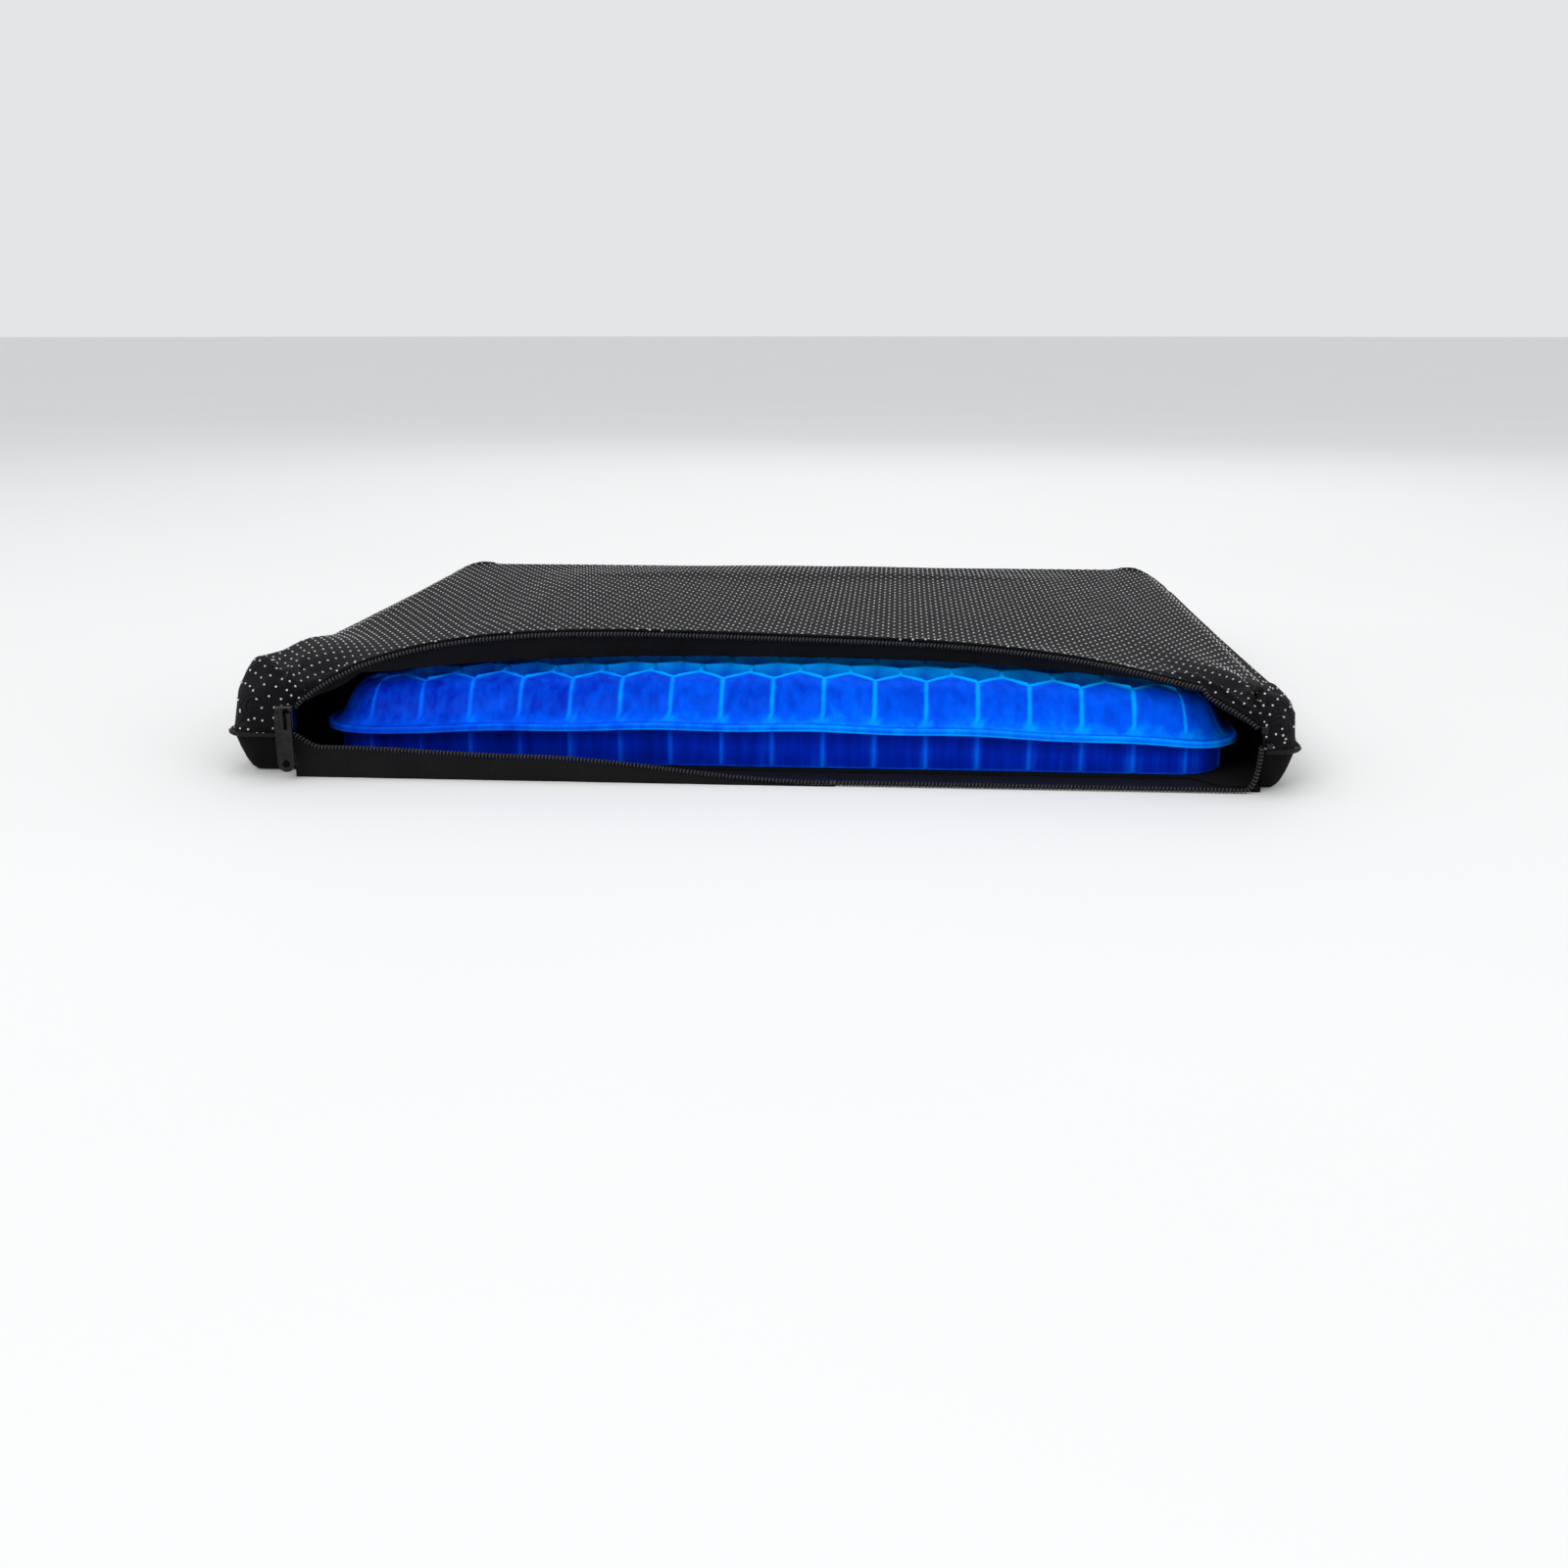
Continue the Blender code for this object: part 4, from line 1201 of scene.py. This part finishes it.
def tube(name, path, radius, finish, sides=6):
    rings = []
    for k, centre in enumerate(path):
        along = (path[min(k + 1, len(path) - 1)] - path[max(k - 1, 0)]).normalized()
        across = along.cross(Vector((0.0, 1.0, 0.2))).normalized()
        upward = across.cross(along)
        turns = [2.0 * math.pi * i / sides for i in range(sides)]
        rings.append([
            centre + radius * (math.cos(turn) * across + math.sin(turn) * upward) for turn in turns])
    return lofted(name, rings, finish)


def join_meshes(name, parts):
    """Joins objects at the origin into one mesh object."""
    work = bmesh.new()
    finishes = []
    for part in parts:
        before = len(work.faces)
        work.from_mesh(part.data)
        finish = part.data.materials[0]
        if finish not in finishes:
            finishes.append(finish)
        work.faces.ensure_lookup_table()
        for face in work.faces[before:]:
            face.material_index = finishes.index(finish)
    mesh = bpy.data.meshes.new(name)
    work.to_mesh(mesh)
    work.free()
    for finish in finishes:
        mesh.materials.append(finish)
    for part in parts:
        bpy.data.objects.remove(part, do_unlink=True)
    mesh.shade_smooth()
    return add_object(name, mesh)


def zip_coil(name, paths):
    """Coil turns with their core cord, along one or more paths."""
    settings = bpy.context.scene.cushion_zip
    parts = []
    growth = coil_growth()
    for index, path in enumerate(paths):
        places, directions = even_steps(path, settings.tooth_pitch)
        mesh = mesh_from(name, places)
        vector_attribute(mesh, "along", directions)
        parts.append(growth.run(f"{name}_turns_{index}", mesh, finish_named("coil")))
        core = COIL_RADIUS - 1.9 * settings.wire
        parts.append(tube(f"{name}_cord_{index}", path, core, finish_named("tape")))
    return join_meshes(name, parts)


class CUSHION_OT_zip_coils(bpy.types.Operator):
    """Make both coils of the zip, turn by turn"""

    bl_idname = "cushion.zip_coils"
    bl_label = "Zip coils"

    def execute(self, context):
        upper = zip_coil("coil_upper", [upper_lip_path()])
        hand_over(upper, "cover", "zip_coil", "zip_coil_upper")
        lower = zip_coil("coil_lower", [lower_corner_path(-1), flat_lip_path()])
        hand_over(lower, "cover", "zip_coil", "zip_coil_lower")
        standing = zip_coil("coil_lower_lip", [standing_lip_path()])
        hand_over(standing, "cover", "zip_coil")
        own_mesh(standing)
        return {"FINISHED"}


def strip(name, tops, bottoms, thickness, segments=6):
    """A tape between two lines of points, closed, with its own thickness along Y."""
    half = Vector((0.0, 0.5 * thickness, 0.0))
    shares = [k / segments for k in range(segments + 1)]
    rings = []
    for top, bottom in zip(tops, bottoms):
        front = [top.lerp(bottom, share) - half for share in shares]
        back = [top.lerp(bottom, 1.0 - share) + half for share in shares]
        rings.append(front + back)
    return lofted(name, rings, finish_named("tape"))


class CUSHION_OT_zip_tapes(bpy.types.Operator):
    """Make the woven tapes of the zip"""

    bl_idname = "cushion.zip_tapes"
    bl_label = "Zip tapes"

    def execute(self, context):
        tops, bottoms = [], []
        for spot in upper_lip_path(0.965):
            share = mouth_share(spot.x)
            hem = spot.z - 0.9 * MM
            drop = min(max(hem - gel_top_at(spot.x) - 4.0 * MM, 1.0 * MM), 10.5 * MM)
            drop *= 0.1 + 0.9 * eased(1.0 - abs(share), 0.03, 0.2)
            sway = 0.5 * MM * noise.noise(Vector((spot.x * 30.0, 3.0, 0.0)))
            y = lip_y(share) - 0.2 * MM
            tops.append(Vector((spot.x, y, hem)))
            bottoms.append(Vector((spot.x, y + 0.25 * drop + sway, hem - drop)))
        upper = strip("tape_upper", tops, bottoms, 0.6 * MM)
        hand_over(upper, "cover", "zip_tape", "zip_tape_upper")
        tops, bottoms = [], []
        for spot in standing_lip_path():
            ripple = 0.4 * MM * noise.noise(Vector((spot.x * 45.0, 9.0, 0.0)))
            tops.append(Vector((spot.x, LOWER_COIL_Y - 0.1 * MM, max(spot.z - 1.0 * MM, 0.25 * MM))))
            bottoms.append(Vector((spot.x, LOWER_COIL_Y - 0.9 * MM + ripple, 0.05 * MM)))
        facing = strip("tape_lower_lip", tops, bottoms, 0.8 * MM)
        hand_over(facing, "cover", "zip_tape")
        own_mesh(facing)
        bpy.data.objects["zip_tape_lower"].material_slots[0].material = finish_named("tape")
        return {"FINISHED"}


def stitch_growth():
    """One short, round-ended stitch along each point's direction."""
    settings = bpy.context.scene.cushion_zip
    growth = Growth("stitches", Length=settings.stitch * 0.78, Thickness=0.34 * MM, Sides=6, Rings=4)
    at = growth.start
    bead = growth.add("GeometryNodeMeshUVSphere", {
        "Segments": at["Sides"], "Rings": at["Rings"], "Radius": 0.5})
    size = growth.add("ShaderNodeCombineXYZ", {
        "X": at["Thickness"], "Y": at["Thickness"], "Z": at["Length"]})
    thread = growth.add("GeometryNodeTransform", {
        "Geometry": bead.outputs["Mesh"], "Scale": size.outputs["Vector"]})
    growth.strew(thread.outputs["Geometry"], along="along")
    return growth


class CUSHION_OT_stitches(bpy.types.Operator):
    """Sew the lip and the side seam with rows of stitches"""

    bl_idname = "cushion.stitches"
    bl_label = "Seam and stitches"

    def execute(self, context):
        settings = context.scene.cushion_zip
        grid = TOP_GRID["grid"]
        out = grid.normals()
        lines = []
        lip = [Vector(grid.points[c, 6] + out[c, 6] * 0.12 * MM)
               for c in range(EAR_COLUMNS + 2, grid.shape[0] - EAR_COLUMNS - 2)]
        lines.append(lip)
        around = [(0, r) for r in range(2, grid.shape[1] - 2)]
        around += [(c, grid.shape[1] - 1) for c in range(2, grid.shape[0] - 2)]
        around += [(grid.shape[0] - 1, r) for r in reversed(range(2, grid.shape[1] - 2))]
        lines.append([Vector(grid.points[p]) + Vector((0.0, 0.0, 0.1 * MM))
                      + Vector(out[p]) * 0.2 * MM for p in around])
        places, directions = [], []
        for line in lines:
            more, ways = even_steps(line, settings.stitch)
            places += more
            directions += ways
        mesh = mesh_from("stitches", places)
        vector_attribute(mesh, "along", directions)
        stitches = stitch_growth().run("stitches", mesh, finish_named("thread"))
        stitches.data.shade_smooth()
        hand_over(stitches, "cover", "thread")
        bpy.data.objects["side_seam"].material_slots[0].material = finish_named("thread")
        return {"FINISHED"}


class CUSHION_OT_zip_metal(bpy.types.Operator):
    """Finish the slider, its pull tab and the stops"""

    bl_idname = "cushion.zip_metal"
    bl_label = "Slider, tab and stops"

    def execute(self, context):
        for node in ("slider_body", "pull_tab", "bottom_stop", "stop_upper", "stop_lower"):
            for slot in bpy.data.objects["zip_" + node].material_slots:
                slot.material = finish_named("metal")
        return {"FINISHED"}


# The studio


def soft_light(name, place, target, size, power):
    lamp = bpy.data.lights.new(name, "AREA")
    lamp.shape = "RECTANGLE"
    lamp.size, lamp.size_y = size
    lamp.energy = power
    made = bpy.data.objects.new(name, lamp)
    made.location = place
    aim = Vector(target) - Vector(place)
    made.rotation_euler = aim.to_track_quat("-Z", "Y").to_euler()
    bpy.context.scene.collection.objects.link(made)


class CUSHION_OT_studio(bpy.types.Operator):
    """Make the floor, the soft lights and the camera"""

    bl_idname = "cushion.studio"
    bl_label = "Studio"

    def execute(self, context):
        settings = context.scene.cushion_studio
        turns = [math.radians(5 * k) for k in range(72)]
        points = [(FLOOR_REACH * math.cos(turn), FLOOR_REACH * math.sin(turn), 0.0) for turn in turns]
        disc = mesh_from("studio_floor", points, [range(len(points))])
        floor = add_object("studio_floor", disc, finish_named("floor"))
        soft_light("key", (-0.75, -1.35, 1.25), (0.0, -0.05, 0.02), (1.1, 0.9), 9.0)
        soft_light("fill", (1.2, -1.1, 0.7), (0.0, -0.1, 0.02), (0.9, 0.9), 4.0)
        soft_light("overhead", (0.0, 0.35, 1.6), (0.0, 0.0, 0.0), (1.6, 1.2), 6.0)
        soft_light("rim", (0.2, 1.5, 0.9), (0.0, 0.1, 0.03), (1.6, 0.5), 3.0)
        world = bpy.data.worlds.new("studio_air")
        world.use_nodes = True
        air = world.node_tree.nodes["Background"].inputs
        air["Color"].default_value = (0.97, 0.98, 1.0, 1.0)
        air["Strength"].default_value = 0.8
        context.scene.world = world
        context.scene.view_settings.view_transform = "Standard"
        lens = bpy.data.cameras.new("camera")
        lens.lens = settings.lens
        lens.sensor_width = 36.0
        lens.clip_start = 0.01
        lens.clip_end = 100.0
        camera = bpy.data.objects.new("camera", lens)
        camera.location = settings.camera_place
        camera.rotation_euler = Euler((0.5 * math.pi - settings.camera_pitch, 0.0, settings.camera_turn))
        context.scene.collection.objects.link(camera)
        context.scene.camera = camera
        return {"FINISHED"}


class VIEW3D_PT_cushion(bpy.types.Panel):
    """Lists the cushion's settings and the steps that make it"""

    bl_label = "Gel Seat Cushion"
    bl_idname = "VIEW3D_PT_cushion"
    bl_space_type = "VIEW_3D"
    bl_region_type = "UI"
    bl_category = "Cushion"

    def draw(self, context):
        for title, group in SETTINGS_SHOWN:
            box = self.layout.box()
            box.label(text=title)
            settings = getattr(context.scene, group)
            for name in settings.bl_rna.properties.keys():
                if name not in ("rna_type", "name"):
                    box.prop(settings, name)
        column = self.layout.column(align=True)
        for step in STEPS:
            column.operator(step.bl_idname)


SETTINGS_SHOWN = (
    ("Gel pad", "cushion_gel"),
    ("Cover", "cushion_cover"),
    ("Zip", "cushion_zip"),
    ("Studio", "cushion_studio"),
)
SETTINGS = (CushionGelSettings, CushionCoverSettings, CushionZipSettings, CushionStudioSettings)
STEPS = (
    CUSHION_OT_studio,
    CUSHION_OT_gel_pad,
    CUSHION_OT_cover_top,
    CUSHION_OT_cover_bottom,
    CUSHION_OT_raised_dots,
    CUSHION_OT_zip_tapes,
    CUSHION_OT_zip_coils,
    CUSHION_OT_stitches,
    CUSHION_OT_zip_metal,
)


def register():
    for made in (*SETTINGS, *STEPS, VIEW3D_PT_cushion):
        bpy.utils.register_class(made)
    for (_, group), kind in zip(SETTINGS_SHOWN, SETTINGS):
        setattr(bpy.types.Scene, group, bpy.props.PointerProperty(type=kind))


def unregister():
    for _, group in SETTINGS_SHOWN:
        delattr(bpy.types.Scene, group)
    for made in reversed((*SETTINGS, *STEPS, VIEW3D_PT_cushion)):
        bpy.utils.unregister_class(made)


def main():
    register()
    for step in STEPS:
        group, name = step.bl_idname.split(".")
        getattr(getattr(bpy.ops, group), name)()


if __name__ == "__main__":
    main()
